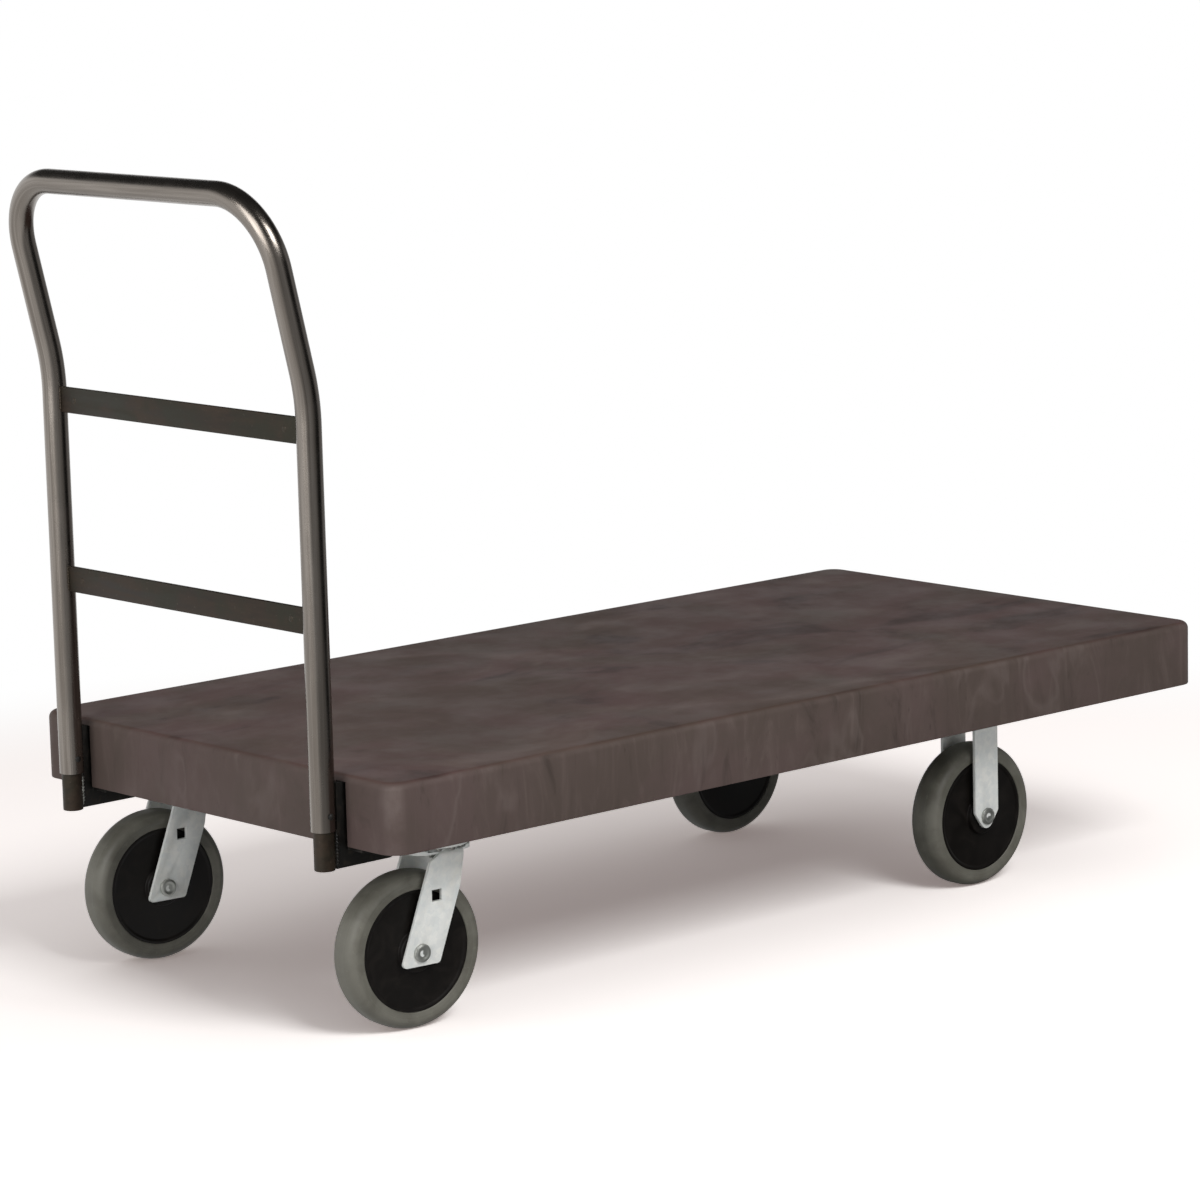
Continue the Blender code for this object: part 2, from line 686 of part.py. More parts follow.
def make_wheel(name, pivot):
    """A wheel on its pivot: tyre, core and bearing, all turning about the axle."""
    edge = 1 / math.cos(math.pi / WHEEL_STEPS)
    seat = wheel_radius - TYRE_DEPTH
    side = [(seat, CORE_WIDTH / 2)]
    for step in range(TREAD_STEPS + 1):
        turn = math.pi / 2 * step / TREAD_STEPS
        r = wheel_radius - TREAD_CROWN * (1 - math.sin(turn))
        side.append((r, TREAD_FLAT / 2 + (TYRE_WIDTH - TREAD_FLAT) / 2 * math.cos(turn)))
    tyre = side + [(r, -h) for r, h in reversed(side)]
    mesh = turned_mesh(name + "_tyre", [(r * edge, h) for r, h in tyre], WHEEL_STEPS, about_y=True)
    add_part(name + "_tyre", mesh, "tyre_grey", pivot)

    rim = seat - TOUCH
    bore = (bearing_radius() + TOUCH) / edge
    side = [
        (bore, BOSS_WIDTH / 2), (BOSS_RADIUS, BOSS_WIDTH / 2), (BOSS_RADIUS, CORE_WIDTH / 2 - CORE_DISH),
        (rim - CORE_RIM_WIDTH, CORE_WIDTH / 2 - CORE_DISH), (rim, CORE_WIDTH / 2),
    ]
    core = side + [(r, -h) for r, h in reversed(side)]
    mesh = turned_mesh(name + "_core", [(r * edge, h) for r, h in core], WHEEL_STEPS, about_y=True)
    add_part(name + "_core", mesh, "core_black", pivot)

    half = BOSS_WIDTH / 2
    mesh = turned_mesh(name, ring(bearing_bore(), bearing_radius(), half), ROUND_STEPS, about_y=True)
    add_part(name + "_bearing", mesh, "bearing_steel", pivot)


def make_axle(name, pivot, x):
    """The axle bolt with its round dished head, its nut, and the sleeve clamped between the legs.

    All three lie on the axle's line, at x from the pivot, with the bolt's head to the right.
    """
    seat = fork_half + TOUCH
    top = seat + AXLE_HEAD_HEIGHT
    tail = -seat - NUT_HEIGHT - AXLE_TAIL
    crest = AXLE_HEAD_RADIUS - AXLE_HEAD_RIM
    profile = [
        (0, top - AXLE_HEAD_DISH), (crest - AXLE_HEAD_RIM, top - AXLE_HEAD_DISH), (crest, top),
        (AXLE_HEAD_RADIUS, top - AXLE_HEAD_DISH), (AXLE_HEAD_RADIUS, seat), (axle_radius, seat),
        (axle_radius, tail), (0, tail),
    ]
    bolt = turned_mesh(name + "_axle", profile, ROUND_STEPS, about_y=True)
    bolt.transform(Matrix.Rotation(math.pi, 4, "Z"))
    add_part(name + "_axle", moved(bolt, x, 0, wheel_radius), "zinc", pivot)
    bore = clear(axle_radius, ROUND_STEPS)
    hole = prism_mesh("hole", bore, -seat - NUT_HEIGHT - OVERCUT, -seat + OVERCUT, ROUND_STEPS)
    nut = prism_mesh("nut", NUT_RADIUS, -seat - NUT_HEIGHT, -seat, HEX)
    for mesh in (nut, hole):
        mesh.transform(Matrix.Rotation(math.pi, 4, "Z") @ ABOUT_Y)
        moved(mesh, x, 0, wheel_radius)
    combine(add_part(name + "_axle_nut", nut, "zinc", pivot), "DIFFERENCE", hole)
    half = FORK_GAP / 2 - TOUCH
    sleeve = turned_mesh(name, ring(bore, sleeve_radius(), half), ROUND_STEPS, about_y=True)
    add_part(name + "_sleeve", moved(sleeve, x, 0, wheel_radius), "bearing_steel", pivot)


def bent_legs(name, top, silhouette, pivot):
    """Two legs and the bridge between them, bent from one strip: its end view crossed with its side view."""
    inner = FORK_GAP / 2
    inner_bend = FORK_BEND - FORK_STEEL
    end_view = [
        (-fork_half, 0, 0), (-inner, 0, 0), (-inner, top - FORK_STEEL, inner_bend),
        (inner, top - FORK_STEEL, inner_bend), (inner, 0, 0), (fork_half, 0, 0),
        (fork_half, top, FORK_BEND), (-fork_half, top, FORK_BEND),
    ]
    strip = outline_mesh(name, [end_view], -PLATE_LENGTH, PLATE_LENGTH, "YZ")
    fork = add_part(name, strip, "zinc", pivot)
    combine(fork, "INTERSECT", outline_mesh("side_view", [silhouette], -PLATE_WIDTH, PLATE_WIDTH, "XZ"))
    return fork


def cross_hole(name, x, radius):
    """A round cutter across both legs at the axle."""
    reach = fork_half + OVERCUT
    profile = [(0, reach), (radius, reach), (radius, -reach), (0, -reach)]
    return moved(turned_mesh(name, profile, ROUND_STEPS, about_y=True), x, 0, wheel_radius)


def make_swivel_fork(name, pivot):
    """The swivel caster's fork: a crown round the kingpin and two raked legs that trail back to the axle."""
    lean = math.tan(LEG_RAKE)
    low = wheel_radius - LEG_BELOW_AXLE
    half_cut = LEG_WIDTH / 2 / math.cos(LEG_RAKE)
    shoulder = crown_top - LEG_SHOULDER_DROP
    foot_middle = LEG_AHEAD_OF_AXLE - SWIVEL_TRAIL - LEG_BELOW_AXLE * lean
    rear_at_shoulder = foot_middle - half_cut + (shoulder - low) * lean
    bend_height = low + (LEG_FRONT - foot_middle - half_cut) / lean
    side_view = [
        (foot_middle - half_cut, low, LEG_CORNER), (foot_middle + half_cut, low, LEG_CORNER),
        (LEG_FRONT, bend_height, LEG_KINK_ROUND), (LEG_FRONT + LEG_FLARE, crown_top, 0),
        (rear_at_shoulder + LEG_SHOULDER_RUN, crown_top, 0), (rear_at_shoulder, shoulder, LEG_CORNER),
    ]
    fork = bent_legs(name + "_fork", crown_top, side_view, pivot)
    crown_half = CROWN_LENGTH / 2
    crown = rectangle(-crown_half, crown_half, -FORK_GAP / 2, FORK_GAP / 2, CROWN_ROUND)
    pin_hole = round_hole(0, 0, clear(kingpin_radius, ROUND_STEPS), ROUND_STEPS)
    combine(fork, "UNION", outline_mesh("crown", [crown], crown_bottom, crown_top))
    near = BALL_CIRCLE_RADIUS - BALL_RADIUS - RUNNING
    far = BALL_CIRCLE_RADIUS + BALL_RADIUS + RUNNING
    above = crown_top + OVERCUT
    groove_floor = crown_top - RACE_GROOVE
    groove = [(near, above), (far, above), (far, groove_floor), (near, groove_floor)]
    hole_x = -SWIVEL_TRAIL + BRAKE_HOLE_ABOVE_AXLE * lean
    hole_z = wheel_radius + BRAKE_HOLE_ABOVE_AXLE
    half = BRAKE_HOLE / 2
    reach = fork_half + OVERCUT
    low = (hole_x - half, -reach, hole_z - half)
    high = (hole_x + half, reach, hole_z + half)
    combine(
        fork, "DIFFERENCE", turned_mesh("groove", groove, RACE_STEPS), box_mesh("brake_hole", low, high),
        outline_mesh("pin_hole", [pin_hole], crown_bottom - OVERCUT, above),
        cross_hole("axle_hole", -SWIVEL_TRAIL, clear(axle_radius, ROUND_STEPS)),
    )


def make_swivel_head(name, fixed):
    """What stays with the deck above a swivel fork: plate, raceway, kingpin and its nut."""
    half_x, half_y = PLATE_LENGTH / 2, PLATE_WIDTH / 2
    loops = [rectangle(-half_x, half_x, -half_y, half_y, PLATE_CORNER)]
    loops += [round_hole(dx, dy, BOLT_RADIUS + TOUCH, BOLT_STEPS) for dx, dy in plate_bolt_places()]
    loops.append(round_hole(0, 0, clear(kingpin_radius, ROUND_STEPS), ROUND_STEPS))
    add_part(name + "_plate", outline_mesh(name + "_plate", loops, plate_bottom, plate_top), "zinc", fixed)

    inner = BALL_CIRCLE_RADIUS - RACE_WIDTH / 2
    outer = BALL_CIRCLE_RADIUS + RACE_WIDTH / 2
    near = BALL_CIRCLE_RADIUS - BALL_RADIUS - RUNNING
    far = BALL_CIRCLE_RADIUS + BALL_RADIUS + RUNNING
    groove = race_bottom + RACE_GROOVE
    race = [
        (outer - RACE_CHAMFER, race_top), (outer, race_top - RACE_CHAMFER), (outer, race_bottom),
        (far, race_bottom), (far, groove), (near, groove), (near, race_bottom), (inner, race_bottom),
        (inner, race_top),
    ]
    add_part(name + "_race", turned_mesh(name + "_race", race, RACE_STEPS), "zinc", fixed)

    head_low = plate_top + TOUCH / 2
    head_top = head_low + KINGPIN_HEAD_HEIGHT
    nut_top = crown_bottom - TOUCH
    nut_low = nut_top - KINGPIN_NUT_HEIGHT
    tail = nut_low - KINGPIN_TAIL
    pin = [
        (0, head_top), (KINGPIN_HEAD_RADIUS, head_top), (KINGPIN_HEAD_RADIUS, head_low),
        (kingpin_radius, head_low), (kingpin_radius, tail), (0, tail),
    ]
    add_part(name + "_kingpin", turned_mesh(name + "_kingpin", pin, ROUND_STEPS), "zinc", fixed)
    nut = prism_mesh("nut", KINGPIN_NUT_RADIUS, nut_low, nut_top, HEX)
    bore_radius = clear(kingpin_radius, ROUND_STEPS)
    bore = prism_mesh("bore", bore_radius, nut_low - OVERCUT, nut_top + OVERCUT, ROUND_STEPS)
    combine(add_part(name + "_kingpin_nut", nut, "zinc", fixed), "DIFFERENCE", bore)


def make_ball_ring(name, pivot):
    """The ring of balls between the raceways, held in one thin cage."""
    middle = (crown_top + race_bottom) / 2
    near = BALL_CIRCLE_RADIUS - CAGE_WIDTH / 2
    far = BALL_CIRCLE_RADIUS + CAGE_WIDTH / 2
    cage = turned_mesh(name + "_ball_ring", ring(near, far, CAGE_HEIGHT / 2), RACE_STEPS)
    moved(cage, z=middle)
    balls = []
    for i in range(BALL_COUNT):
        turn = 2 * math.pi * i / BALL_COUNT
        bm = bmesh.new()
        bmesh.ops.create_uvsphere(bm, u_segments=BALL_STEPS, v_segments=4, radius=BALL_RADIUS)
        place = (BALL_CIRCLE_RADIUS * math.cos(turn), BALL_CIRCLE_RADIUS * math.sin(turn), middle)
        bmesh.ops.translate(bm, vec=place, verts=bm.verts)
        balls.append(mesh_from(bm, "ball"))
    combine(add_part(name + "_ball_ring", cage, "bearing_steel", pivot), "UNION", joined("balls", balls))


def make_swivel_caster(side, sign):
    """A whole swivel caster, at rest with its wheel trailing towards the handle and turned a little."""
    name = "swivel_" + side
    y = sign * swivel_y
    fixed = add_pivot(name + "_mount", (swivel_x, y, 0))
    turning = add_pivot(name + "_pivot", (swivel_x, y, 0), turn=SWIVEL_REST_ANGLE)
    wheel = add_pivot(name + "_wheel_pivot", (-SWIVEL_TRAIL, 0, wheel_radius), parent=turning)
    make_swivel_head(name, fixed)
    make_ball_ring(name, turning)
    make_swivel_fork(name, turning)
    make_axle(name, turning, -SWIVEL_TRAIL)
    make_wheel(name, wheel)


def make_rigid_caster(side, sign):
    """A whole rigid caster: plate and legs in one welded fork, straight down to the axle."""
    name = "rigid_" + side
    y = sign * rigid_y
    fixed = add_pivot(name + "_mount", (rigid_x, y, 0))
    wheel = add_pivot(name + "_wheel_pivot", (rigid_x, y, wheel_radius))
    half = RIGID_LEG_WIDTH / 2
    inside_plate = plate_bottom + PLATE_STEEL / 2
    taper = wheel_radius + RIGID_TAPER_START
    side_view = [
        (-half, inside_plate, 0), (-half, taper, LEG_CORNER),
        (0, wheel_radius - RIGID_TAPER_POINT, RIGID_TIP_ROUND), (half, taper, LEG_CORNER),
        (half, inside_plate, 0),
    ]
    fork = bent_legs(name + "_fork", inside_plate, side_view, fixed)
    half_x, half_y = PLATE_LENGTH / 2, PLATE_WIDTH / 2
    loops = [rectangle(-half_x, half_x, -half_y, half_y, PLATE_CORNER)]
    loops += [round_hole(dx, dy, BOLT_RADIUS + TOUCH, BOLT_STEPS) for dx, dy in plate_bolt_places()]
    combine(fork, "UNION", outline_mesh("plate", loops, plate_bottom, plate_top))
    combine(fork, "DIFFERENCE", cross_hole("axle_hole", 0, clear(axle_radius, ROUND_STEPS)))
    make_axle(name, fixed, 0)
    make_wheel(name, wheel)


start_clean()
make_deck()
make_handle()
for side, sign in SIDES:
    make_bracket(side, sign)
    make_swivel_caster(side, sign)
    make_rigid_caster(side, sign)
for name, x, y in caster_places():
    make_caster_bolts(name, x, y)
for name, x, y in foot_bolt_places():
    make_foot_bolt(name, x, y)
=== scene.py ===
# %% [markdown]
# A platform cart: a ribbed plastic deck on two swivel and two rigid casters, with a bent tube handle at one
# end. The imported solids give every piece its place. This file gives them their looks. Round and moulded
# pieces get finer surfaces, pressed steel keeps its shape and gets soft edges, and every finish is worked out
# by nodes.

# %% Load the frame
import json
import math

import bmesh
import bpy
import numpy as np
from mathutils import Matrix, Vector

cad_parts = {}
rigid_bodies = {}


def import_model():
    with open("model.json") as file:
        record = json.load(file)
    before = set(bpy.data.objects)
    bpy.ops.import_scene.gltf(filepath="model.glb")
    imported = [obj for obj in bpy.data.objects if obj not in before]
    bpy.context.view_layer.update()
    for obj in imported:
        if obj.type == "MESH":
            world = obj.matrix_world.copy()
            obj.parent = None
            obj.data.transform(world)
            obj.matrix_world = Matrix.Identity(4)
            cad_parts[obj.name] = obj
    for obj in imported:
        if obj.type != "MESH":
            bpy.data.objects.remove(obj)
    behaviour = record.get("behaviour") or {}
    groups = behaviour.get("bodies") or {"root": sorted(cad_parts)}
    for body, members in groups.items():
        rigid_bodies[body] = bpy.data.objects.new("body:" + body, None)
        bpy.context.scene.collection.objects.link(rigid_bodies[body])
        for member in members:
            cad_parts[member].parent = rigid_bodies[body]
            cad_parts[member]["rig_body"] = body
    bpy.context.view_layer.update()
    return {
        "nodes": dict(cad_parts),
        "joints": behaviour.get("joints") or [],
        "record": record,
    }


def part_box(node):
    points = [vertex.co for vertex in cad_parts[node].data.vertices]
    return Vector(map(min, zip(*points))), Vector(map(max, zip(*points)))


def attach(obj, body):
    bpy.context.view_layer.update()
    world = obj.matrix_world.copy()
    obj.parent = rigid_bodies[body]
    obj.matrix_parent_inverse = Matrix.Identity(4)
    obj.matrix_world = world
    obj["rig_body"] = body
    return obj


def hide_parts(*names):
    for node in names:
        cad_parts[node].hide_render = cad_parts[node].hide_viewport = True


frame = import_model()
nodes = frame["nodes"]
SLOTS = {row["node"]: row["material_slot"] for row in frame["record"]["subparts"]}
JOINTS = {joint["name"]: joint for joint in frame["joints"]}
SIDES = ("right", "left")

# %% [markdown]
# A photograph is a perspective drawing, so the camera comes first. Where it stands and how it is turned were
# worked out from the deck's corners, the handle and the wheels. The photograph had been stretched upwards by
# about a third. A lens can't do that, so the camera keeps the true proportions and the photograph's width.

# %% Camera
CAMERA_PLACE = np.array([-4.19744, -4.66922, 1.52133])
CAMERA_YAW = 0.8310
CAMERA_PITCH = -0.1708
CAMERA_ROLL = -0.0238
FOCAL_PIXELS = 4616.88
CENTRE_PIXEL = 644.62
PHOTO_PIXELS = 1200.0
SENSOR = 36.0


def camera_axes(yaw, pitch, roll):
    """Right, up and back of a camera that looks along yaw and pitch, then rolled about its own view."""
    ahead = np.array([math.cos(yaw) * math.cos(pitch), math.sin(yaw) * math.cos(pitch), math.sin(pitch)])
    level = np.array([math.sin(yaw), -math.cos(yaw), 0.0])
    above = np.cross(level, ahead)
    right = level * math.cos(roll) + above * math.sin(roll)
    up = above * math.cos(roll) - level * math.sin(roll)
    return right, up, -ahead


def standing(right, up, back, place):
    """A 4 by 4 matrix with these three axes as its columns, and a place."""
    turned = np.eye(4)
    turned[:3, 0], turned[:3, 1], turned[:3, 2], turned[:3, 3] = right, up, back, place
    return Matrix(turned.tolist())


def unit(vector):
    """A vector, or each row of several, divided by its own length."""
    return vector / np.linalg.norm(vector, axis=-1, keepdims=True)


def in_scene(name, data):
    """A new object in the scene, with this data."""
    thing = bpy.data.objects.new(name, data)
    bpy.context.scene.collection.objects.link(thing)
    return thing


camera_data = bpy.data.cameras.new("camera")
camera_data.sensor_width = SENSOR
camera_data.lens = SENSOR * FOCAL_PIXELS / PHOTO_PIXELS
camera_data.shift_x = (PHOTO_PIXELS / 2 - CENTRE_PIXEL) / PHOTO_PIXELS
camera_data.clip_end = 200.0
camera = in_scene("camera", camera_data)
camera.matrix_world = standing(*camera_axes(CAMERA_YAW, CAMERA_PITCH, CAMERA_ROLL), CAMERA_PLACE)
bpy.context.scene.camera = camera
print("lens:", round(camera_data.lens, 1), "mm, shift:", round(camera_data.shift_x, 4))

# %% [markdown]
# A shader is arithmetic drawn as boxes and wires. This class writes it as arithmetic again: it holds one
# output of a node, and adding or multiplying two of them puts the Math node in. So each material below reads
# as a short recipe.


# %% Shader arithmetic
BUMP_DEPTH = 0.001


class Wire:
    """One output of a shader node. Arithmetic on wires adds Math nodes to their tree."""

    def __init__(self, tree, output=None):
        self.tree = tree
        self.output = output

    def node(self, kind, inputs, out=0, **settings):
        """Adds a node: its settings first, and then the values or links of its sockets."""
        made = self.tree.nodes.new("ShaderNode" + kind)
        for name, value in settings.items():
            setattr(made, name, value)
        for name, value in inputs.items():
            if isinstance(value, Wire):
                self.tree.links.new(value.output, made.inputs[name])
            else:
                made.inputs[name].default_value = value
        return Wire(self.tree, made.outputs[out] if len(made.outputs) else None)

    def __getitem__(self, name):
        return Wire(self.tree, self.output.node.outputs[name])

    def math(self, operation, first, second=0.0):
        """One Math node."""
        return self.node("Math", {0: first, 1: second}, operation=operation)

    def __add__(self, other):
        return self.math("ADD", self, other)

    __radd__ = __add__

    def __sub__(self, other):
        return self.math("SUBTRACT", self, other)

    def __rsub__(self, other):
        return self.math("SUBTRACT", other, self)

    def __mul__(self, other):
        return self.math("MULTIPLY", self, other)

    __rmul__ = __mul__

    def __truediv__(self, other):
        return self.math("DIVIDE", self, other)

    def place(self):
        """Each point's place in its object's own axes."""
        return self.node("TexCoord", {})["Object"]

    def size(self):
        """The value without its sign."""
        return self.math("ABSOLUTE", self)

    def larger(self, other):
        """The larger of two values, at each point."""
        return self.math("MAXIMUM", self, other)

    def parts(self):
        """The X, Y and Z of a vector."""
        split = self.node("SeparateXYZ", {"Vector": self})
        return split["X"], split["Y"], split["Z"]

    def step(self, low, high, first=0.0, last=1.0):
        """Runs smoothly from first to last as the wire goes from low to high."""
        spread = {"Value": self, "From Min": low, "From Max": high, "To Min": first, "To Max": last}
        return self.node("MapRange", spread, interpolation_type="SMOOTHSTEP")

    def mix(self, first, second):
        """A colour that goes from first to second with the wire."""
        return self.node("Mix", {0: self, 6: first, 7: second}, out=2, data_type="RGBA")

    def scaled(self, x, y, z):
        """A place with its three directions drawn out or pressed together."""
        return self.node("Mapping", {"Vector": self, "Scale": (x, y, z)})

    def noise(self, scale, detail=4.0, rough=0.5, twist=0.0):
        """Soft cloudy noise from 0 to 1, with scale waves to the metre."""
        sockets = {"Vector": self, "Scale": scale, "Detail": detail, "Roughness": rough, "Distortion": twist}
        return self.node("TexNoise", sockets)


def colour(red, green, blue):
    """A colour given as a screen shows it, 0 to 255, in the linear values that the shaders work in."""
    shown = np.array([red, green, blue]) / 255.0
    linear = np.where(shown <= 0.04045, shown / 12.92, ((shown + 0.055) / 1.055) ** 2.4)
    return (*[float(value) for value in linear], 1.0)


def new_material(name):
    """An empty material, and a wire that stands for its tree."""
    material = bpy.data.materials.new(name)
    material.use_nodes = True
    material.node_tree.nodes.clear()
    return material, Wire(material.node_tree)


def close_material(tree, paint, gloss, height, lift, **sockets):
    """Ends a material in a Principled BSDF of this colour and roughness, bumped by a share of a height."""
    named = {name.replace("_", " "): value for name, value in sockets.items()}
    bump = tree.node("Bump", {"Height": height, "Strength": lift, "Distance": BUMP_DEPTH})
    shader = tree.node("BsdfPrincipled", {"Base Color": paint, "Roughness": gloss, "Normal": bump, **named})
    tree.node("OutputMaterial", {"Surface": shader})


print("wires ready")

# %% [markdown]
# The studio is plain: a pale floor, one even sky and three large soft lamps. The key lamp stands on the
# cart's right and throws the soft shadow under it and away to the left. A low lamp below it lights the wheels
# under the deck, and the fill lamp lights the deck's rear end. Those two are kept off the floor, so it shows
# one shadow. Mirror rays, as from the polished tube, meet a photographer's studio: bright on the left, dimmer
# elsewhere, one dark card on the right and a dark ceiling. The camera sees the sky as white, and the floor
# too, apart from the shadow.

# %% Studio
FLOOR_SPAN = 120.0
FLOOR_GREY = 0.80
SKY_LEVEL = 0.31
SHADOW_FADE = (1.35, 2.10)
BRIGHT_SIDE = math.radians(120.0)
CARD_SIDE = math.radians(-58.0)
FLOOR_PAINTS = ((0.95, 0.94, 0.93, 1.0), (0.78, 0.75, 0.73, 1.0))
FLOOR_GLOW = (0.19, 0.155, 0.148, 1.0)
WHITE = (1.0, 1.0, 1.0, 1.0)


def surroundings(x, y):
    """How bright the studio is in a level direction x, y of length 1, from 0 to 1."""
    bright = (x * math.cos(BRIGHT_SIDE) + y * math.sin(BRIGHT_SIDE)).step(-0.25, 0.25, 0.32, 1.0)
    card = (x * math.cos(CARD_SIDE) + y * math.sin(CARD_SIDE)).step(0.84, 0.97, 1.0, 0.03)
    return bright * card


def seen_or_mirrored(tree, plain, seen, mirrored):
    """One shader for the camera's rays and those through glass, one for mirror rays, and one for the rest."""
    path = tree.node("LightPath", {})
    shown = path["Is Camera Ray"] + path["Is Transmission Ray"]
    rest = tree.node("MixShader", {0: path["Is Glossy Ray"], 1: plain, 2: mirrored})
    return tree.node("MixShader", {0: shown, 1: rest, 2: seen})


def make_floor():
    """A wide pale square. The camera sees it brighter than other rays do, and white where no shadow falls."""
    data = bpy.data.meshes.new("floor")
    corners = np.array([(-1, -1, 0), (1, -1, 0), (1, 1, 0), (-1, 1, 0)]) * FLOOR_SPAN / 2
    data.from_pydata(corners.tolist(), [], [(0, 1, 2, 3)])
    floor = in_scene("floor", data)
    material, tree = new_material("floor")
    x, y, _ = tree.place().parts()
    distance = tree.math("POWER", x * x + y * y, 0.5)
    plain = tree.node("BsdfDiffuse", {"Color": (FLOOR_GREY, FLOOR_GREY, FLOOR_GREY, 1.0)})
    near, more = [tree.node("BsdfDiffuse", {"Color": paint}) for paint in FLOOR_PAINTS]
    for shader in (more, tree.node("Emission", {"Color": FLOOR_GLOW})):
        near = tree.node("AddShader", {0: near, 1: shader})
    white = tree.node("Emission", {"Color": WHITE})
    seen = tree.node("MixShader", {0: distance.step(*SHADOW_FADE), 1: near, 2: white})
    level = surroundings(x / distance, y / distance) * distance.step(0.5, 1.3, 0.45, 1.0)
    mirrored = tree.node("Emission", {"Color": WHITE, "Strength": level})
    tree.node("OutputMaterial", {"Surface": seen_or_mirrored(tree, plain, seen, mirrored)})
    data.materials.append(material)


def make_sky():
    """An even sky for light, white for the camera, and the studio's surroundings for mirror rays."""
    world = bpy.data.worlds.new("studio")
    bpy.context.scene.world = world
    world.use_nodes = True
    world.node_tree.nodes.clear()
    tree = Wire(world.node_tree)
    x, y, z = tree.node("TexCoord", {})["Generated"].parts()
    levels = (SKY_LEVEL, 1.0, surroundings(x, y) * z.step(0.20, 0.42, 1.0, 0.04))
    skies = [tree.node("Background", {"Color": WHITE, "Strength": level}) for level in levels]
    tree.node("OutputWorld", {"Surface": seen_or_mirrored(tree, *skies)})


def make_lamp(name, place, aim, width, watts):
    """A square area lamp at place, whose -Z axis points at aim."""
    data = bpy.data.lights.new(name, "AREA")
    data.shape = "SQUARE"
    data.size = width
    data.energy = watts
    lamp = in_scene(name, data)
    back = unit(np.subtract(place, aim))
    right = unit(np.cross([0.0, 0.0, 1.0], back))
    lamp.matrix_world = standing(right, np.cross(back, right), back, place)
    return lamp


def spare(lamp, thing):
    """Keeps a lamp's light off one thing, by light linking."""
    linked = bpy.data.collections.new(lamp.name + "_spares")
    linked.objects.link(thing)
    linked.collection_objects[0].light_linking.link_state = "EXCLUDE"
    lamp.light_linking.receiver_collection = linked


make_floor()
make_sky()
make_lamp("key", (-0.58, -3.29, 3.02), (0.0, 0.0, 0.3), 1.7, 78.0)
fill = make_lamp("fill", (-4.3, -0.6, 1.9), (0.0, 0.0, 0.3), 2.4, 90.0)
low = make_lamp("low", (0.3, -4.6, 0.75), (0.0, 0.0, 0.25), 2.0, 34.0)
low.visible_glossy = False
for lamp in (fill, low):
    spare(lamp, bpy.data.objects["floor"])
bpy.context.scene.view_settings.view_transform = "Standard"
print("studio ready")

# %% [markdown]
# The deck is moulded structural foam. Its skin freezes against the cold mould while gas still stirs the melt,
# so the top is clouded with swirls and the walls carry upright streaks. The rounded edges and corners carry a
# painted highlight: they are painted a little paler. Painting this as an image would need the photograph, so
# it is grown from noise: stretched upwards on the walls, twisted on the top. The direction that the surface
# faces tells the shader which of the two it is on.


# %% Deck finish
def deck_foam(tree):
    """Tones mixed by masks of noise: clouds on the top, streaks on the walls, and a painted highlight on the
    edges.
    """
    spot = tree.node("TexCoord", {})
    place = spot["Object"]
    across, along, up = spot["Normal"].parts()
    patchy_noise = place.noise(13.0, 5.0, 0.65)
    top = (up + patchy_noise * 0.5).step(0.85, 1.25)
    edge = up.step(0.05, 0.45) * up.step(0.70, 0.99, 1.0, 0.0)
    corner = (across * along).size().step(0.18, 0.48)
    drift = place.noise(4.2, 4.0, 0.55, 0.8).step(0.36, 0.62)
    cloud = place.scaled(0.9, 1.3, 1.0).noise(4.2, 7.0, 0.56, 1.5)
    on_top = drift.mix(colour(91, 70, 67), colour(82, 67, 60))
    on_top = (cloud.step(0.50, 0.72) * 0.70).mix(on_top, colour(103, 86, 80))
    on_top = (cloud.step(0.46, 0.30) * 0.80).mix(on_top, colour(64, 49, 46))
    upright = along.size().step(0.2, 0.8, 0.60, 1.0)
    streaks = place.scaled(1.0, 1.0, 0.30).noise(22.0, 6.0, 0.60, 1.6)
    on_wall = drift.mix(colour(91, 77, 74), colour(84, 73, 68))
    on_wall = (streaks.step(0.48, 0.80) * upright * 0.48).mix(on_wall, colour(111, 98, 93))
    on_wall = (streaks.step(0.46, 0.24) * upright * 0.60).mix(on_wall, colour(61, 53, 49))
    flecks = place.scaled(1.0, 1.0, 0.40).noise(95.0, 3.0, 0.5).step(0.68, 0.78) * upright * 0.35
    on_wall = flecks.mix(on_wall, colour(50, 43, 40))
    veil = place.scaled(1.0, 1.0, 0.50).noise(11.0, 3.0, 0.50, 0.6)
    wisps = (veil - 0.5).size().step(0.060, 0.0) * place.noise(7.0, 3.0, 0.5).step(0.44, 0.60) * 0.24
    on_wall = wisps.mix(on_wall, colour(118, 106, 102))
    skin = top.mix(on_wall, on_top)
    # Painted highlight: the rounded top edge and the upright corners are painted paler, broken up by noise.
    painted_edge_highlight = (edge * patchy_noise.step(0.38, 0.66) * 0.07).larger(corner * patchy_noise.step(0.30, 0.60) * 0.34)
    skin = painted_edge_highlight.mix(skin, colour(120, 109, 105))
    fine = place.noise(420.0, 3.0, 0.6)
    relief = fine * 0.25 + streaks * (1.0 - top) * 0.8 + cloud * top * 0.5
    gloss = place.noise(11.0, 5.0, 0.6).step(0.3, 0.7, 0.50, 0.64)
    close_material(tree, skin, gloss, relief, 0.35, Specular_IOR_Level=0.14)


print("deck finish ready")

# %% [markdown]
# The handle is drawn steel tube, polished along its length and sealed with clear lacquer. The polish leaves
# long hair lines that follow the bends. Each swept surface below carries an attribute called lay: the
# direction round the section as a cosine and a sine, and the length along it. Noise on lay runs along the
# tube and has no seam.


# %% Metal and paint finishes
def lay_of(tree):
    """Each point's lay, as a vector."""
    return tree.node("Attribute", {}, out=1, attribute_name="lay")


def turned_mask(tree):
    """1 on a turned or swept surface, and 0 on one without a lay."""
    x, y, _ = lay_of(tree).parts()
    return (x * x + y * y).step(0.4, 0.8)


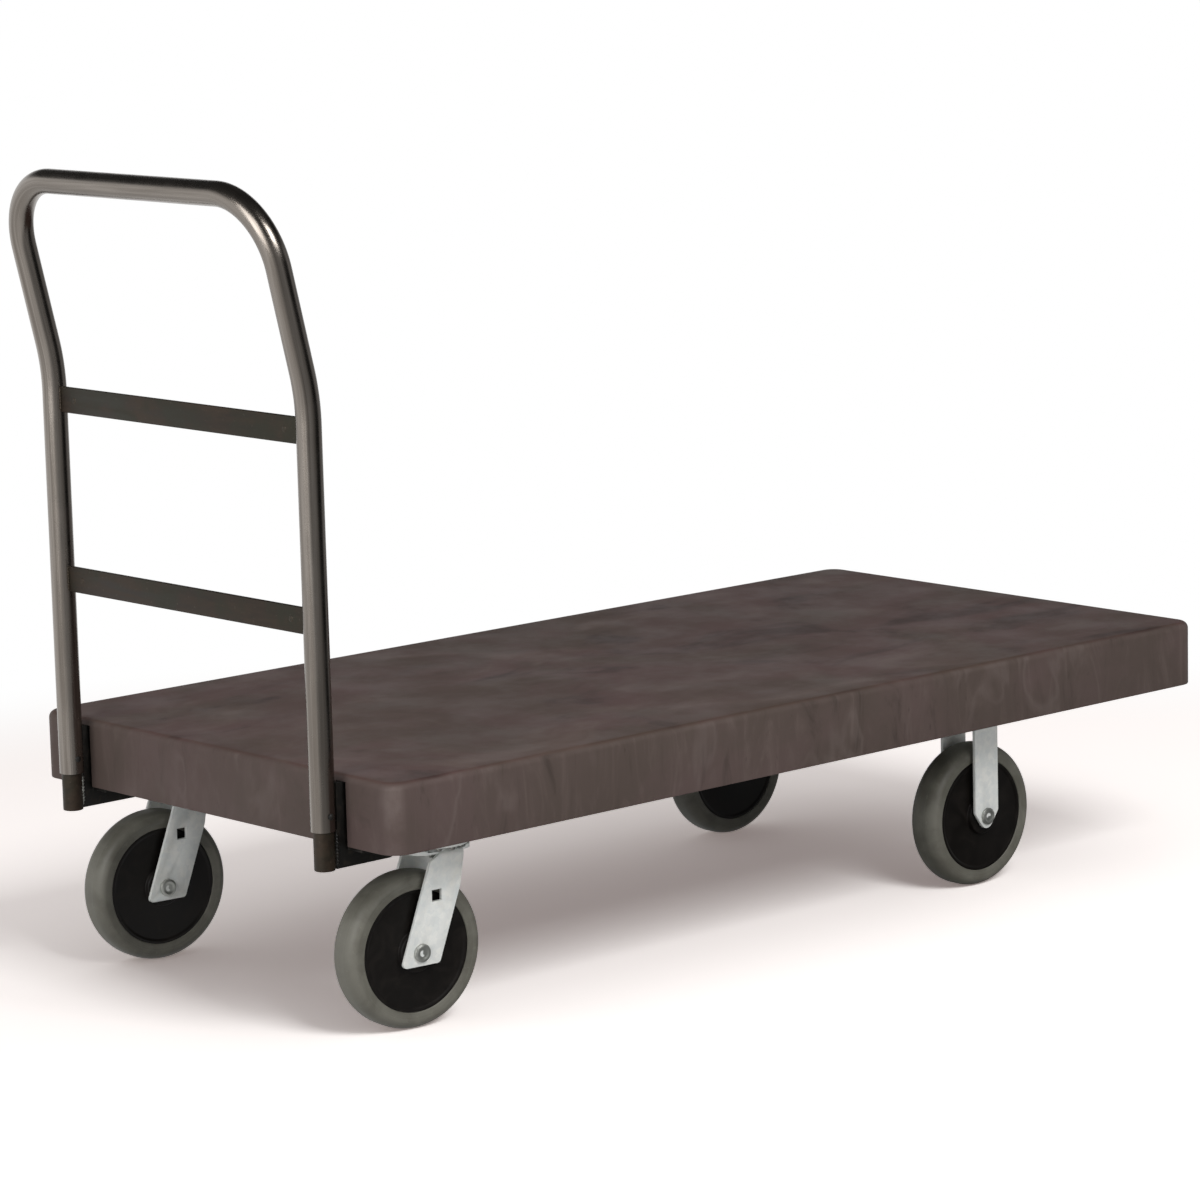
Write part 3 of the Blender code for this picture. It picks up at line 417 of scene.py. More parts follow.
def handle_steel(tree):
    """Pale and dark hair lines on lay, over a broad drift of tone."""
    lay = lay_of(tree)
    place = tree.place()
    broad = lay.scaled(1.6, 1.6, 2.2).noise(1.0, 4.0, 0.6, 0.3)
    hair = lay.scaled(14.0, 14.0, 3.0).noise(1.0, 3.0, 0.7)
    steel = broad.step(0.34, 0.66).mix(colour(112, 105, 98), colour(144, 137, 130))
    steel = (hair.step(0.55, 0.75) * 0.50).mix(steel, colour(172, 165, 157))
    steel = (hair.step(0.42, 0.28) * 0.40).mix(steel, colour(80, 73, 67))
    clean = place.noise(26.0, 5.0, 0.6).step(0.3, 0.7, 0.23, 0.30)
    close_material(tree, steel, clean, hair, 0.012, Metallic=1.0, Coat_Weight=0.15, Coat_Roughness=0.16)


def bar_steel(tree):
    """Thin olive-brown paint over steel, rubbed in faint strokes. Welds, which have a lay, are browner."""
    place = tree.place()
    strokes = place.scaled(1.0, 0.12, 1.0).noise(60.0, 5.0, 0.65, 0.4)
    paint = strokes.step(0.32, 0.68).mix(colour(38, 29, 21), colour(57, 45, 34))
    paint = (place.noise(11.0, 4.0, 0.6).step(0.42, 0.62) * 0.8).mix(paint, colour(38, 38, 26))
    specks = place.noise(240.0, 2.0).step(0.66, 0.74) * 0.25
    paint = specks.mix(paint, colour(98, 91, 80))
    weld = turned_mask(tree) * place.noise(300.0, 3.0).step(0.30, 0.60, 0.4, 0.9)
    paint = weld.mix(paint, colour(58, 49, 38))
    gloss = strokes.step(0.3, 0.7, 0.42, 0.56)
    close_material(tree, paint, gloss, strokes, 0.12, Metallic=0.55)


def bracket_black(tree):
    """Rough black paint over mill scale, with brown dust where it lies thin."""
    place = tree.place()
    scale = place.noise(70.0, 6.0, 0.65)
    paint = scale.step(0.48, 0.76).mix(colour(17, 15, 12), colour(46, 39, 31))
    gloss = scale.step(0.3, 0.7, 0.40, 0.60)
    close_material(tree, paint, gloss, scale, 0.25, Specular_IOR_Level=0.35)


def zinc(tree):
    """Bright zinc plate: pale cells some millimetres wide, clouded by handling. Turned parts are greyer."""
    place = tree.place()
    cells = tree.node("TexVoronoi", {"Vector": place, "Scale": 150.0}, out=1).parts()[0]
    cloud = place.noise(42.0, 5.0, 0.6)
    plate = cloud.step(0.35, 0.65).mix(colour(230, 233, 230), colour(243, 243, 238))
    plate = (cells.step(0.2, 1.0) * 0.25).mix(plate, colour(206, 211, 213))
    stain = place.noise(15.0, 4.0, 0.6, 0.6).step(0.58, 0.74) * 0.30
    plate = stain.mix(plate, colour(196, 194, 182))
    hardware = turned_mask(tree)
    plate = hardware.mix(plate, cloud.step(0.35, 0.65).mix(colour(156, 158, 153), colour(190, 191, 185)))
    gloss = cloud.step(0.3, 0.7, 0.34, 0.50)
    metal = hardware.step(0.0, 1.0, 0.15, 0.75)
    close_material(tree, plate, gloss, cells + cloud, 0.05, Metallic=metal)


def bearing_steel(tree):
    """Bare turned steel: fine rings round its axis, and a film of oil."""
    rings = lay_of(tree).scaled(0.3, 0.3, 900.0).noise(1.0, 3.0)
    steel = rings.step(0.3, 0.7).mix(colour(126, 124, 120), colour(166, 164, 158))
    gloss = rings.step(0.3, 0.7, 0.24, 0.38)
    close_material(tree, steel, gloss, rings, 0.10, Metallic=1.0, Coat_Weight=0.2, Coat_Roughness=0.1)


print("metal finishes ready")

# %% [markdown]
# The tyre is grey non-marking rubber, bonded round a core of black moulded plastic. New rubber is nearly
# plain: what shows is a soft sheen, a film of dust on the tread and faint rings from the mould.


# %% Wheel finishes
def tyre_grey(tree):
    """Cloudy grey with faint rings on lay, under flecks of dust."""
    place = tree.place()
    lay = lay_of(tree)
    cloud = place.noise(22.0, 5.0, 0.6, 0.4)
    rubber = cloud.step(0.35, 0.65).mix(colour(94, 92, 83), colour(110, 108, 99))
    rings = lay.scaled(0.4, 0.4, 700.0).noise(1.0, 2.0)
    rubber = (rings.step(0.5, 0.8) * 0.25).mix(rubber, colour(128, 127, 118))
    dust = place.noise(160.0, 4.0, 0.7).step(0.58, 0.75) * 0.3
    rubber = dust.mix(rubber, colour(140, 136, 126))
    gloss = cloud.step(0.3, 0.7, 0.44, 0.56)
    close_material(tree, rubber, gloss, rings + cloud, 0.08, Specular_IOR_Level=0.45)


def core_black(tree):
    """Slow flow marks in near black, with a fine grain for the bump."""
    place = tree.place()
    flow = place.noise(30.0, 5.0, 0.6, 1.2)
    plastic = flow.step(0.4, 0.75).mix(colour(17, 14, 12), colour(28, 24, 21))
    fine = place.noise(500.0, 2.0)
    gloss = flow.step(0.3, 0.7, 0.40, 0.52)
    close_material(tree, plastic, gloss, fine, 0.12, Specular_IOR_Level=0.25)


FINISHES = {}
for recipe in (deck_foam, handle_steel, bar_steel, bracket_black, zinc, bearing_steel, tyre_grey, core_black):
    FINISHES[recipe.__name__], tree = new_material(recipe.__name__)
    recipe(tree)
for name, node in nodes.items():
    node.data.materials.clear()
    node.data.materials.append(FINISHES[SLOTS[name]])
print("finishes:", len(FINISHES))

# %% [markdown]
# A fine surface is a grid of points whose two directions are two parameters, such as the turn round an axis
# and the way along a profile. numpy works the whole grid out at once, and one mesh takes it. The helpers here
# make such grids: a turned profile, a tube along a path, and a box whose edges are pieces of a ball.

# %% Surface helpers
WELD = 1e-6


def columns(*parts):
    """Numbers or arrays, spread to one shape and put side by side as the last axis."""
    return np.stack(np.broadcast_arrays(*parts), axis=-1)


def turns(count):
    """Angles that share out a whole turn evenly."""
    return np.linspace(0.0, math.tau, count, endpoint=False)


def run_along(line):
    """At each point of a line, the sum of the lengths of the steps that lead there."""
    return np.concatenate([[0.0], np.cumsum(np.linalg.norm(np.diff(line, axis=0), axis=1))])


def grid_faces(rows, count, close_rows=False):
    """Four-sided faces of a grid whose point (i, j) has the number i * count + j. Each row closes up."""
    i, j = np.arange(rows if close_rows else rows - 1)[:, None], np.arange(count)
    here = i * count
    ahead = (i + 1) % rows * count
    beside = (j + 1) % count
    return columns(here + j, here + beside, ahead + beside, ahead + j).reshape(-1, 4).tolist()


def fillet(corners, steps=5):
    """A profile from corners (r, h, radius). A corner with a radius becomes an arc.

    With s and e the spokes from the arc's middle to its two tangent points, a angle apart, its point at the
    fraction t is middle + (s * sin((1 - t) * a) + e * sin(t * a)) / sin(a).
    """
    points = []
    corners = np.array(corners, float)
    for i, (r, h, radius) in enumerate(corners):
        here = np.array([r, h])
        if radius <= 0:
            points.append(here[None])
            continue
        back = unit(corners[i - 1, :2] - here)
        ahead = unit(corners[(i + 1) % len(corners), :2] - here)
        half = math.acos(np.clip(back @ ahead, -1.0, 1.0)) / 2
        middle = here + unit(back + ahead) * radius / math.sin(half)
        first = here + back * radius / math.tan(half) - middle
        last = here + ahead * radius / math.tan(half) - middle
        sweep = math.pi - 2 * half
        t = np.linspace(0.0, 1.0, steps + 1)[:, None]
        points.append(middle + (first * np.sin((1 - t) * sweep) + last * np.sin(t * sweep)) / math.sin(sweep))
    return np.concatenate(points)


def turned(profile, steps, hexagon=None, thread=None):
    """A profile of (r, h) points carried round Z: point (i, j) is (r cos t, r sin t, h) at the turn t of j.

    With hexagon, r is at most hexagon / cos of the turn from the middle of the nearest flat, which cuts a nut
    out of a round bar. With thread = (pitch, depth), r loses a share of depth that goes round as h rises.
    A profile that starts off the axis is a ring, whose last point joins its first.
    """
    profile = np.asarray(profile, float)
    turn = turns(steps)
    r, h = profile[:, :1], profile[:, 1:]
    if hexagon:
        from_flat = (turn + math.pi / 6) % (math.pi / 3) - math.pi / 6
        r = np.minimum(r, hexagon / np.cos(from_flat))
    if thread:
        r = r - np.where(r > 0, thread[1] * (0.5 + 0.5 * np.sin(math.tau * h / thread[0] - turn)), 0.0)
    points = columns(r * np.cos(turn), r * np.sin(turn), h)
    lay = columns(np.cos(turn), np.sin(turn), run_along(profile)[:, None])
    return points.reshape(-1, 3), grid_faces(len(profile), steps, profile[0, 0] > 0), lay.reshape(-1, 3)


def swept(path, radius, sides, wall=0.0):
    """A round tube along a path: point (i, j) is path i + radius * (n cos t + b sin t) at the turn t of j.

    The path never runs along X. n is the part of X that stands square to it there, and b is square to both.
    radius is one number, or one for each path point. With a wall, the surface turns at the end and comes back
    inside. Without one, each end is closed at the path's last point.
    """
    path = np.asarray(path, float)
    ahead = unit(np.gradient(path, axis=0))
    n = unit((1.0, 0.0, 0.0) - ahead[:, :1] * ahead)
    b = np.cross(ahead, n)
    radius = np.broadcast_to(radius, len(path))
    order = np.arange(len(path))
    if wall:
        rows = np.concatenate([order, order[::-1]])
        radii = np.concatenate([radius, radius - wall])
    else:
        rows = np.concatenate([order[:1], order, order[-1:]])
        radii = np.concatenate([[0.0], radius, [0.0]])
    turn = turns(sides)
    spoke = n[rows][:, None] * np.cos(turn)[:, None] + b[rows][:, None] * np.sin(turn)[:, None]
    points = path[rows][:, None] + radii[:, None, None] * spoke
    lay = columns(np.cos(turn), np.sin(turn), run_along(path)[rows][:, None])
    return points.reshape(-1, 3), grid_faces(len(rows), sides, wall > 0), lay.reshape(-1, 3)


def soft_box(low, high, radius, steps=3):
    """A box with round edges: for a ball's directions d, middle + sign(d) * (half - radius) + radius * d.

    Each direction between two eighths of the ball is listed once for each, so the flat faces open up between
    them. The first and last rows close the top and the bottom at their middles.
    """
    low, high = np.array(low), np.array(high)
    middle, half = (low + high) / 2, (high - low) / 2
    quarter = np.linspace(0.0, math.pi / 2, steps + 1)
    turn = np.concatenate([quarter + k * math.pi / 2 for k in range(4)])
    rise = np.concatenate([quarter - math.pi / 2, quarter])[:, None]
    d = columns(np.cos(rise) * np.cos(turn), np.cos(rise) * np.sin(turn), np.sin(rise))
    signs = [np.repeat(sign, steps + 1) for sign in ((1, -1, -1, 1), (1, 1, -1, -1), (-1, 1))]
    points = middle + columns(*signs[:2], signs[2][:, None]) * (half - radius) + radius * d
    ends = [np.broadcast_to(middle + half * (0.0, 0.0, z), points[:1].shape) for z in (-1.0, 1.0)]
    points = np.concatenate([ends[0], points, ends[1]])
    faces = grid_faces(points.shape[0], points.shape[1])
    return points.reshape(-1, 3), faces, np.zeros_like(points).reshape(-1, 3)


def rod(radius, first, last):
    """A plain round bar about Z, from the height first to last."""
    return turned([(0, first), (radius, first), (radius, last), (0, last)], 24)


def placed(shape, middle, axis=(0.0, 0.0, 1.0)):
    """A shape with its Z laid along an axis, and its origin moved to a middle."""
    points, faces, lay = shape
    z = unit(axis)
    x = unit(np.cross([0.0, 1.0, 0.0] if abs(z[2]) > 0.9 else [0.0, 0.0, 1.0], z))
    return points @ np.array([x, np.cross(z, x), z]) + middle, faces, lay


def together(shapes):
    """One shape from several: each one's point numbers start after those of the shapes before it."""
    faces, start = [], 0
    for points, found, _ in shapes:
        faces += [[start + number for number in face] for face in found]
        start += len(points)
    points, _, lays = zip(*shapes)
    return np.concatenate(points), faces, np.concatenate(lays)


def surface_mesh(name, shapes):
    """A mesh from shapes, with its seams and poles welded and its faces turned outwards."""
    points, faces, lay = together(shapes)
    mesh = bpy.data.meshes.new(name)
    mesh.from_pydata(points.tolist(), [], faces)
    mesh.attributes.new("lay", "FLOAT_VECTOR", "POINT").data.foreach_set("vector", lay.ravel())
    bm = bmesh.new()
    bm.from_mesh(mesh)
    bmesh.ops.remove_doubles(bm, verts=bm.verts, dist=WELD)
    bmesh.ops.recalc_face_normals(bm, faces=bm.faces)
    bm.to_mesh(mesh)
    bm.free()
    return mesh


def dressed(name, mesh, slot, body):
    """A piece that rides on a body and has a slot's finish."""
    piece = in_scene(name, mesh)
    mesh.materials.clear()
    mesh.materials.append(FINISHES[slot])
    mesh.shade_smooth()
    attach(piece, body)
    return piece


def stand_in(node_name, made, sharp=32.0):
    """Shows shapes or a mesh in place of a CAD node, on its body and in its slot, with steep edges sharp."""
    mesh = surface_mesh(node_name, made) if isinstance(made, list) else made
    piece = dressed(node_name + "_finished", mesh, SLOTS[node_name], nodes[node_name]["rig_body"])
    mesh.set_sharp_from_angle(angle=math.radians(sharp))
    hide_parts(node_name)
    return piece


def corners_of(node_name):
    """A node's lowest and highest corner, and the middle between them, as arrays."""
    low, high = np.array(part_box(node_name))
    return low, high, (low + high) / 2


print("helpers ready")

# %% [markdown]
# The deck is one shell with a rounded rim, hollowed from below into pockets between ribs, with solid pads
# over the casters and the brackets. Its outside is a grid: one direction goes round the outline, and the
# other goes from the underside up the wall, over the rim and a little way in. Two flat caps close it. The
# hollows are cut by Booleans, as a mould's cores would, and the result is applied.

# %% Deck shape
DECK_CORNER = 0.028
RIM_RADIUS = 0.010
LOWER_RIM = 0.0015
CORNER_STEPS = 14
CAP_MARGIN = 0.006
DECK_SKIN = 0.010
DECK_WALL = 0.012
RIB = 0.008
BAYS = (10, 5)
PAD_MARGIN = 0.010
BOLT_SPACING = (0.092, 0.072)
BOLT_RADIUS = 0.0045
TOUCH = 0.0003
WEB_LENGTH = 0.082
WEB_DROP = 0.008
NOTCH = (0.012, 0.020)
INSERT_DEPTH = 0.006
BEYOND = 0.010
deck_low, deck_high, _ = corners_of("deck")


def deck_ring(inset, z):
    """One closed line round the deck, this far inside its outline.

    At a corner the points are centre + (radius - inset) * (cos t, sin t).
    """
    rings = []
    for quarter, side in enumerate(((1, 1), (-1, 1), (-1, -1), (1, -1))):
        centre = np.where(np.array(side) > 0, deck_high[:2], deck_low[:2]) - DECK_CORNER * np.array(side)
        turn = np.linspace(quarter * math.pi / 2, (quarter + 1) * math.pi / 2, CORNER_STEPS + 1)
        flat = centre + (DECK_CORNER - inset) * columns(np.cos(turn), np.sin(turn))
        rings.append(columns(*flat.T, z))
    return np.concatenate(rings)


def deck_shell():
    """The deck's outside as a grid of rings, with a flat cap above and below."""
    rise = np.linspace(0.0, math.pi / 2, 9)
    lines = [(LOWER_RIM * (1 - math.sin(t)), deck_low[2] + LOWER_RIM * (1 - math.cos(t))) for t in rise[::4]]
    lines += [(RIM_RADIUS * (1 - math.cos(t)), deck_high[2] - RIM_RADIUS * (1 - math.sin(t))) for t in rise]
    lines.append((RIM_RADIUS + CAP_MARGIN, deck_high[2]))
    rings = np.array([deck_ring(inset, z) for inset, z in lines])
    count = rings.shape[1]
    faces = grid_faces(len(lines), count)
    faces += [list(range(count))[::-1], [(len(lines) - 1) * count + j for j in range(count)]]
    points = rings.reshape(-1, 3)
    return points, faces, np.zeros_like(points)


def blocks(pairs):
    """Plain boxes from pairs of corners: point k of a box is low + bits of k * (high - low)."""
    lows, highs = np.array(pairs).transpose(1, 0, 2)
    bits = np.array([[k & 1, k >> 1 & 1, k >> 2 & 1] for k in range(8)])
    points = lows[:, None] + bits * (highs - lows)[:, None]
    sides = np.array([[0, 2, 3, 1], [4, 5, 7, 6], [0, 1, 5, 4], [2, 6, 7, 3], [0, 4, 6, 2], [1, 3, 7, 5]])
    faces = sides[None] + 8 * np.arange(len(lows))[:, None, None]
    points = points.reshape(-1, 3)
    return points, faces.reshape(-1, 4).tolist(), np.zeros_like(points)


def pocket_blocks():
    """The hollows between the ribs: evenly spaced, a wall in from the outline, up to the top skin."""
    pitch = (deck_high[:2] - deck_low[:2] - 2 * DECK_WALL + RIB) / BAYS
    starts = deck_low[:2] + DECK_WALL + np.indices(BAYS).reshape(2, -1).T * pitch
    bottom, top = deck_low[2] - BEYOND, deck_high[2] - DECK_SKIN
    return blocks([((*start, bottom), (*(start + pitch - RIB), top)) for start in starts])


plate_boxes = {
    **{"rear_" + side: corners_of(f"swivel_{side}_plate") for side in SIDES},
    **{"front_" + side: corners_of(f"rigid_{side}_fork") for side in SIDES},
}
bracket_boxes = {side: corners_of("handle_bracket_" + side) for side in SIDES}
pad_top = deck_high[2] - DECK_SKIN / 2


def bolt_places(middle):
    """The four bolt places of a caster's plate, half a spacing each way from its middle."""
    signs = np.array([(-1, -1), (-1, 1), (1, -1), (1, 1)]) / 2
    return middle[:2] + signs * BOLT_SPACING


def caster_pads():
    """Solid blocks over the caster plates, a margin wider all round."""
    return blocks([
        ((*(low[:2] - PAD_MARGIN), deck_low[2]), (*(high[:2] + PAD_MARGIN), pad_top))
        for low, high, _ in plate_boxes.values()
    ])


def bracket_pads():
    """Solid blocks over the brackets, from the rear wall to a margin past the ends of their webs."""
    start, end = deck_low[0] + DECK_WALL / 2, deck_low[0] + WEB_LENGTH + PAD_MARGIN
    return blocks([
        ((start, low[1] - PAD_MARGIN, deck_low[2]), (end, high[1] + PAD_MARGIN, pad_top))
        for low, high, _ in bracket_boxes.values()
    ])


def notches_and_insert_pockets():
    """A slot in the rear wall for each bracket's web, and a hollow for each caster's tapped plate."""
    pairs = []
    for _, _, middle in bracket_boxes.values():
        y = middle[1]
        low = (deck_low[0] - BEYOND, y - NOTCH[1] / 2, deck_low[2] - BEYOND)
        pairs.append((low, (deck_low[0] + NOTCH[0], y + NOTCH[1] / 2, deck_high[2] - WEB_DROP)))
    for end in plate_boxes:
        low, high, _ = corners_of("caster_bolts_" + end)
        pairs.append(((low[0] - TOUCH, low[1] - TOUCH, high[2] - INSERT_DEPTH), high + TOUCH))
    return blocks(pairs)


def bolt_holes():
    """Round holes for the caster bolts, the bracket bolts and the heads of the kingpins."""
    holes = []
    for end, (_, _, middle) in plate_boxes.items():
        top = corners_of("caster_bolts_" + end)[1][2]
        holes += [(*place, BOLT_RADIUS, top) for place in bolt_places(middle)]
    for side in SIDES:
        for name in (f"bracket_bolt_{side}_outer", f"bracket_bolt_{side}_inner", f"swivel_{side}_kingpin"):
            low, high, middle = corners_of(name)
            radius = BOLT_RADIUS if "bolt" in name else (high[0] - low[0]) / 2
            holes.append((*middle[:2], radius, high[2] + TOUCH))
    start = deck_low[2] - BEYOND
    return together([placed(rod(radius + TOUCH, top, start), (x, y, 0.0)) for x, y, radius, top in holes])


def cut_deck():
    """The shell with its hollows cut, its pads added, and the holes cut through them."""
    whole = in_scene("deck_blank", surface_mesh("deck_blank", [deck_shell()]))
    helpers = []
    for operation, tool in (
        ("DIFFERENCE", pocket_blocks()), ("UNION", caster_pads()), ("UNION", bracket_pads()),
        ("DIFFERENCE", notches_and_insert_pockets()), ("DIFFERENCE", bolt_holes()),
    ):
        helper = in_scene("deck_core", surface_mesh("deck_core", [tool]))
        cut = whole.modifiers.new(operation.lower(), "BOOLEAN")
        cut.operation = operation
        cut.object = helper
        helpers.append(helper)
    bpy.context.view_layer.update()
    done = bpy.data.meshes.new_from_object(whole.evaluated_get(bpy.context.evaluated_depsgraph_get()))
    for item in [whole, *helpers]:
        bpy.data.objects.remove(item)
    return done


deck_piece = stand_in("deck", cut_deck(), sharp=28.0)
print("deck faces:", len(deck_piece.data.polygons))

# %% [markdown]
# The handle is one tube bent four times: back at each leg, and round at the two top corners. Its middle line
# is made of straight runs and arcs, and a fine section is swept along it, out along the outside and home
# along the bore. Drawing it as a curve object with a bevel would be quicker, but the sweep also gives the lay
# attribute that the polished finish follows.

# %% Handle tube
TUBE_RADIUS = 0.016
TUBE_WALL = 0.0018
LEAN_START = 0.817
LEAN_RADIUS = 0.300
TOP_CORNER_RADIUS = 0.092
STANDOFF = 0.0268
SETBACK = 0.058
tube_low, tube_high, _ = corners_of("handle_tube")
handle_x = corners_of("handle_bar_upper")[2][0]
handle_y = tube_high[1] - TUBE_RADIUS
top_x = deck_low[0] - STANDOFF - SETBACK
top_z = tube_high[2] - TUBE_RADIUS


def handle_path():
    """The right leg up to the lean, the lean's arc, the top corner's arc, and the mirror image back down."""
    top = np.array([top_x - handle_x, top_z])
    lean = unit(top - (0.0, LEAN_START))
    angle = math.acos(lean[1])
    start = LEAN_START - LEAN_RADIUS * math.tan(angle / 2)
    z = np.linspace(tube_low[2], start, 40, endpoint=False)
    leg = columns(0.0, -handle_y, z)
    t = np.linspace(0.0, angle, 14)
    bend = columns(LEAN_RADIUS * (np.cos(t) - 1), -handle_y, start + LEAN_RADIUS * np.sin(t))
    t = np.linspace(0.0, math.pi / 2, 28)
    back = top - lean * TOP_CORNER_RADIUS * (1 - np.sin(t))[:, None]
    corner = columns(back[:, 0], TOP_CORNER_RADIUS * (1 - np.cos(t)) - handle_y, back[:, 1])
    gap = np.linspace(bend[-1], corner[0], 16)[1:-1]
    half = np.concatenate([leg, bend, gap, corner])
    top_bar = np.linspace(half[-1], half[-1] * (1, -1, 1), 16)[1:-1]
    path = np.concatenate([half, top_bar, half[::-1] * (1, -1, 1)])
    return path + (handle_x, 0.0, 0.0)


handle = stand_in("handle_tube", [swept(handle_path(), TUBE_RADIUS, 48, TUBE_WALL)], sharp=60.0)
print("handle faces:", len(handle.data.polygons))

# %% [markdown]
# Two flat bars tie the legs together. Each is cut from strip, so its long edges are rounded a little, and the
# plug welds near its ends show as low round spots. A thin bead of weld joins each end to the tube.

# %% Handle bars
BAR_EDGE = 0.0012
SPOT_RADIUS = 0.0052
SPOT_RISE = 0.0007
SPOT_INSET = 0.030
BEAD_RADIUS = 0.0016
BEAD_END = 0.001
RIPPLE_LENGTH = 0.0045


def weld_spot(x, y, z, facing):
    """A low dome on a face that looks along +X or -X."""
    dome = fillet([
        (0, SPOT_RISE, 0), (SPOT_RADIUS * 0.6, SPOT_RISE * 0.9, 0.004), (SPOT_RADIUS, -BAR_EDGE / 2, 0),
        (0, -BAR_EDGE / 2, 0),
    ])
    return placed(turned(dome, 32), (x, y, z), (facing, 0.0, 0.0))


def weld_bead(x, y, low, high, count, radius, seed):
    """An upright bead of weld from low to high: its radius ripples, with two waves of unlike length."""
    line = columns(x, y, np.linspace(low, high, count))
    way = np.linspace(0.0, 1.0, count)
    phase = math.tau * (high - low) / RIPPLE_LENGTH * way
    ripple = 0.16 * np.sin(phase + seed) + 0.10 * np.sin(phase * 0.37 + 2 * seed)
    ends = np.minimum(1.0, 6.0 * np.minimum(way, 1 - way) + 0.35)
    return swept(line, radius * (1 + ripple) * ends, 12)


for name in ("upper", "lower"):
    low, high, middle = corners_of("handle_bar_" + name)
    shapes = [soft_box(low, high, BAR_EDGE)]
    for y in (low[1] + SPOT_INSET, high[1] - SPOT_INSET):
        shapes += [weld_spot(low[0], y, middle[2], -1.0), weld_spot(high[0], y, middle[2], 1.0)]
    for y in (low[1], high[1]):
        for x in (low[0], high[0]):
            start = low[2] + BEAD_END
            shapes.append(weld_bead(x, y, start, high[2] - BEAD_END, 40, BEAD_RADIUS, 100 * (x + y + start)))
    stand_in("handle_bar_" + name, shapes)
print("bars ready")

# %% [markdown]
# Under each leg of the tube stands a round post, which goes up inside it. A screw through the tube holds it.
# Behind the post a steel web runs into a notch of the deck and under it, on a foot with two bolts. The web is
# pressed steel of the right shape already, so a merged copy of the solid gets rounded edges from a Bevel, and
# a run of weld is laid down both sides of the seam between post and web. The two welds are alike: the right
# one is given the bracket's black paint as painted shade, and the left one pale zinc as a painted highlight.

# %% Posts, screws and brackets
MERGE = 1e-5
POST_EDGE = 0.0010
SCREW_CREST = [(0, -0.0002, 0), (0.0016, -0.0002, 0.0002), (0.0022, 0.0, 0.0004)]
SCREW_SHANK = 0.0024
SCREW_EDGE = (0.0016, 0.0022)
SEAM_RADIUS = 0.0034
SEAM_END = 0.003
SEAM_OUT = 0.0002
BRACKET_EDGE = 0.0006
WEB_HALF = 0.0040
# Each side's weld finish and ripple seed: the black on the right is painted shade, the pale zinc on the left
# a painted highlight.
SEAM_PAINTED_LIGHT_AND_SEED = {"right": ("bracket_black", -1.0), "left": ("zinc", 1.0)}


def soften(node_name, width):
    """A CAD node's own shape, its triangles merged into flat faces, with rounded edges."""
    bm = bmesh.new()
    bm.from_mesh(nodes[node_name].data)
    bmesh.ops.remove_doubles(bm, verts=bm.verts, dist=MERGE)
    bmesh.ops.dissolve_limit(bm, angle_limit=math.radians(1.0), verts=bm.verts, edges=bm.edges)
    mesh = bpy.data.meshes.new(node_name)
    bm.to_mesh(mesh)
    bm.free()
    piece = stand_in(node_name, mesh, sharp=180.0)
    bevel = piece.modifiers.new("edges", "BEVEL")
    bevel.width = width
    bevel.segments = 2
    bevel.limit_method = "ANGLE"
    bevel.angle_limit = math.radians(40.0)
    bevel.harden_normals = True


for side in SIDES:
    low, high, middle = corners_of("handle_post_" + side)
    radius = (high[1] - low[1]) / 2
    edges = fillet([
        (0, low[2], 0), (radius, low[2], POST_EDGE), (radius, high[2], POST_EDGE), (0, high[2], 0),
    ])
    points, faces, lay = placed(turned(edges, 64), (*middle[:2], 0.0))
    stand_in("handle_post_" + side, [(points, faces, 0.0 * lay)])

    low, high, middle = corners_of("handle_screw_" + side)
    head, length = (high[2] - low[2]) / 2, high[1] - low[1]
    screw = turned(fillet(SCREW_CREST + [
        (head, SCREW_EDGE[0], 0.0010), (head, SCREW_EDGE[1], 0), (SCREW_SHANK, SCREW_EDGE[1], 0),
        (SCREW_SHANK, length, 0), (0, length, 0),
    ]), 32)
    place = (middle[0], low[1] - SCREW_CREST[0][1], middle[2])
    stand_in("handle_screw_" + side, [placed(screw, place, (0, 1, 0))])

    soften("handle_bracket_" + side, BRACKET_EDGE)
    low, _, middle = bracket_boxes[side]
    # The right weld's black is painted shade and the left weld's pale zinc a painted highlight; the welds are
    # alike.
    finish, seed = SEAM_PAINTED_LIGHT_AND_SEED[side]
    x, y = low[0] + SEAM_OUT, middle[1]
    span = (low[2] + SEAM_END, tube_low[2] - SEAM_END)
    seams = [
        weld_bead(x, y + hand * WEB_HALF, *span, 90, SEAM_RADIUS, 3.0 * hand + seed) for hand in (-1.0, 1.0)
    ]
    dressed("post_weld_" + side, surface_mesh("post_weld", seams), finish, "root")
print("posts and brackets ready")

# %% [markdown]
# A wheel is three turned pieces: the tyre, the core and a plain bearing in its hub. The tread's section is a
# quarter of an ellipse each way from a narrow flat. Everything lies on the wheel's own axle line, which comes
# from its joint, so the swivel wheels keep the few degrees that they are turned.

# %% Wheels
TYRE_DEPTH = 0.0226
TREAD_CROWN = 0.012
TREAD_FLAT = 0.012
CORE_HALF = 0.0215
CORE_DISH = 0.0012
CORE_RIM = 0.006
BOSS_RADIUS = 0.026
BOSS_HALF = 0.0265
BEARING_RADIUS = 0.0143
SLEEVE_RADIUS = 0.0093
SLEEVE_HALF = 0.0282
AXLE_RADIUS = 0.00635
tyre_low, tyre_high, _ = corners_of("rigid_right_tyre")
wheel_radius = tyre_high[2] / 2
tyre_half = (tyre_high[1] - tyre_low[1]) / 2


def mirrored(half):
    """A closed profile from its upper half: the half, and then its mirror image backwards."""
    half = np.asarray(half, float)
    return np.concatenate([half, half[::-1] * (1, -1)])


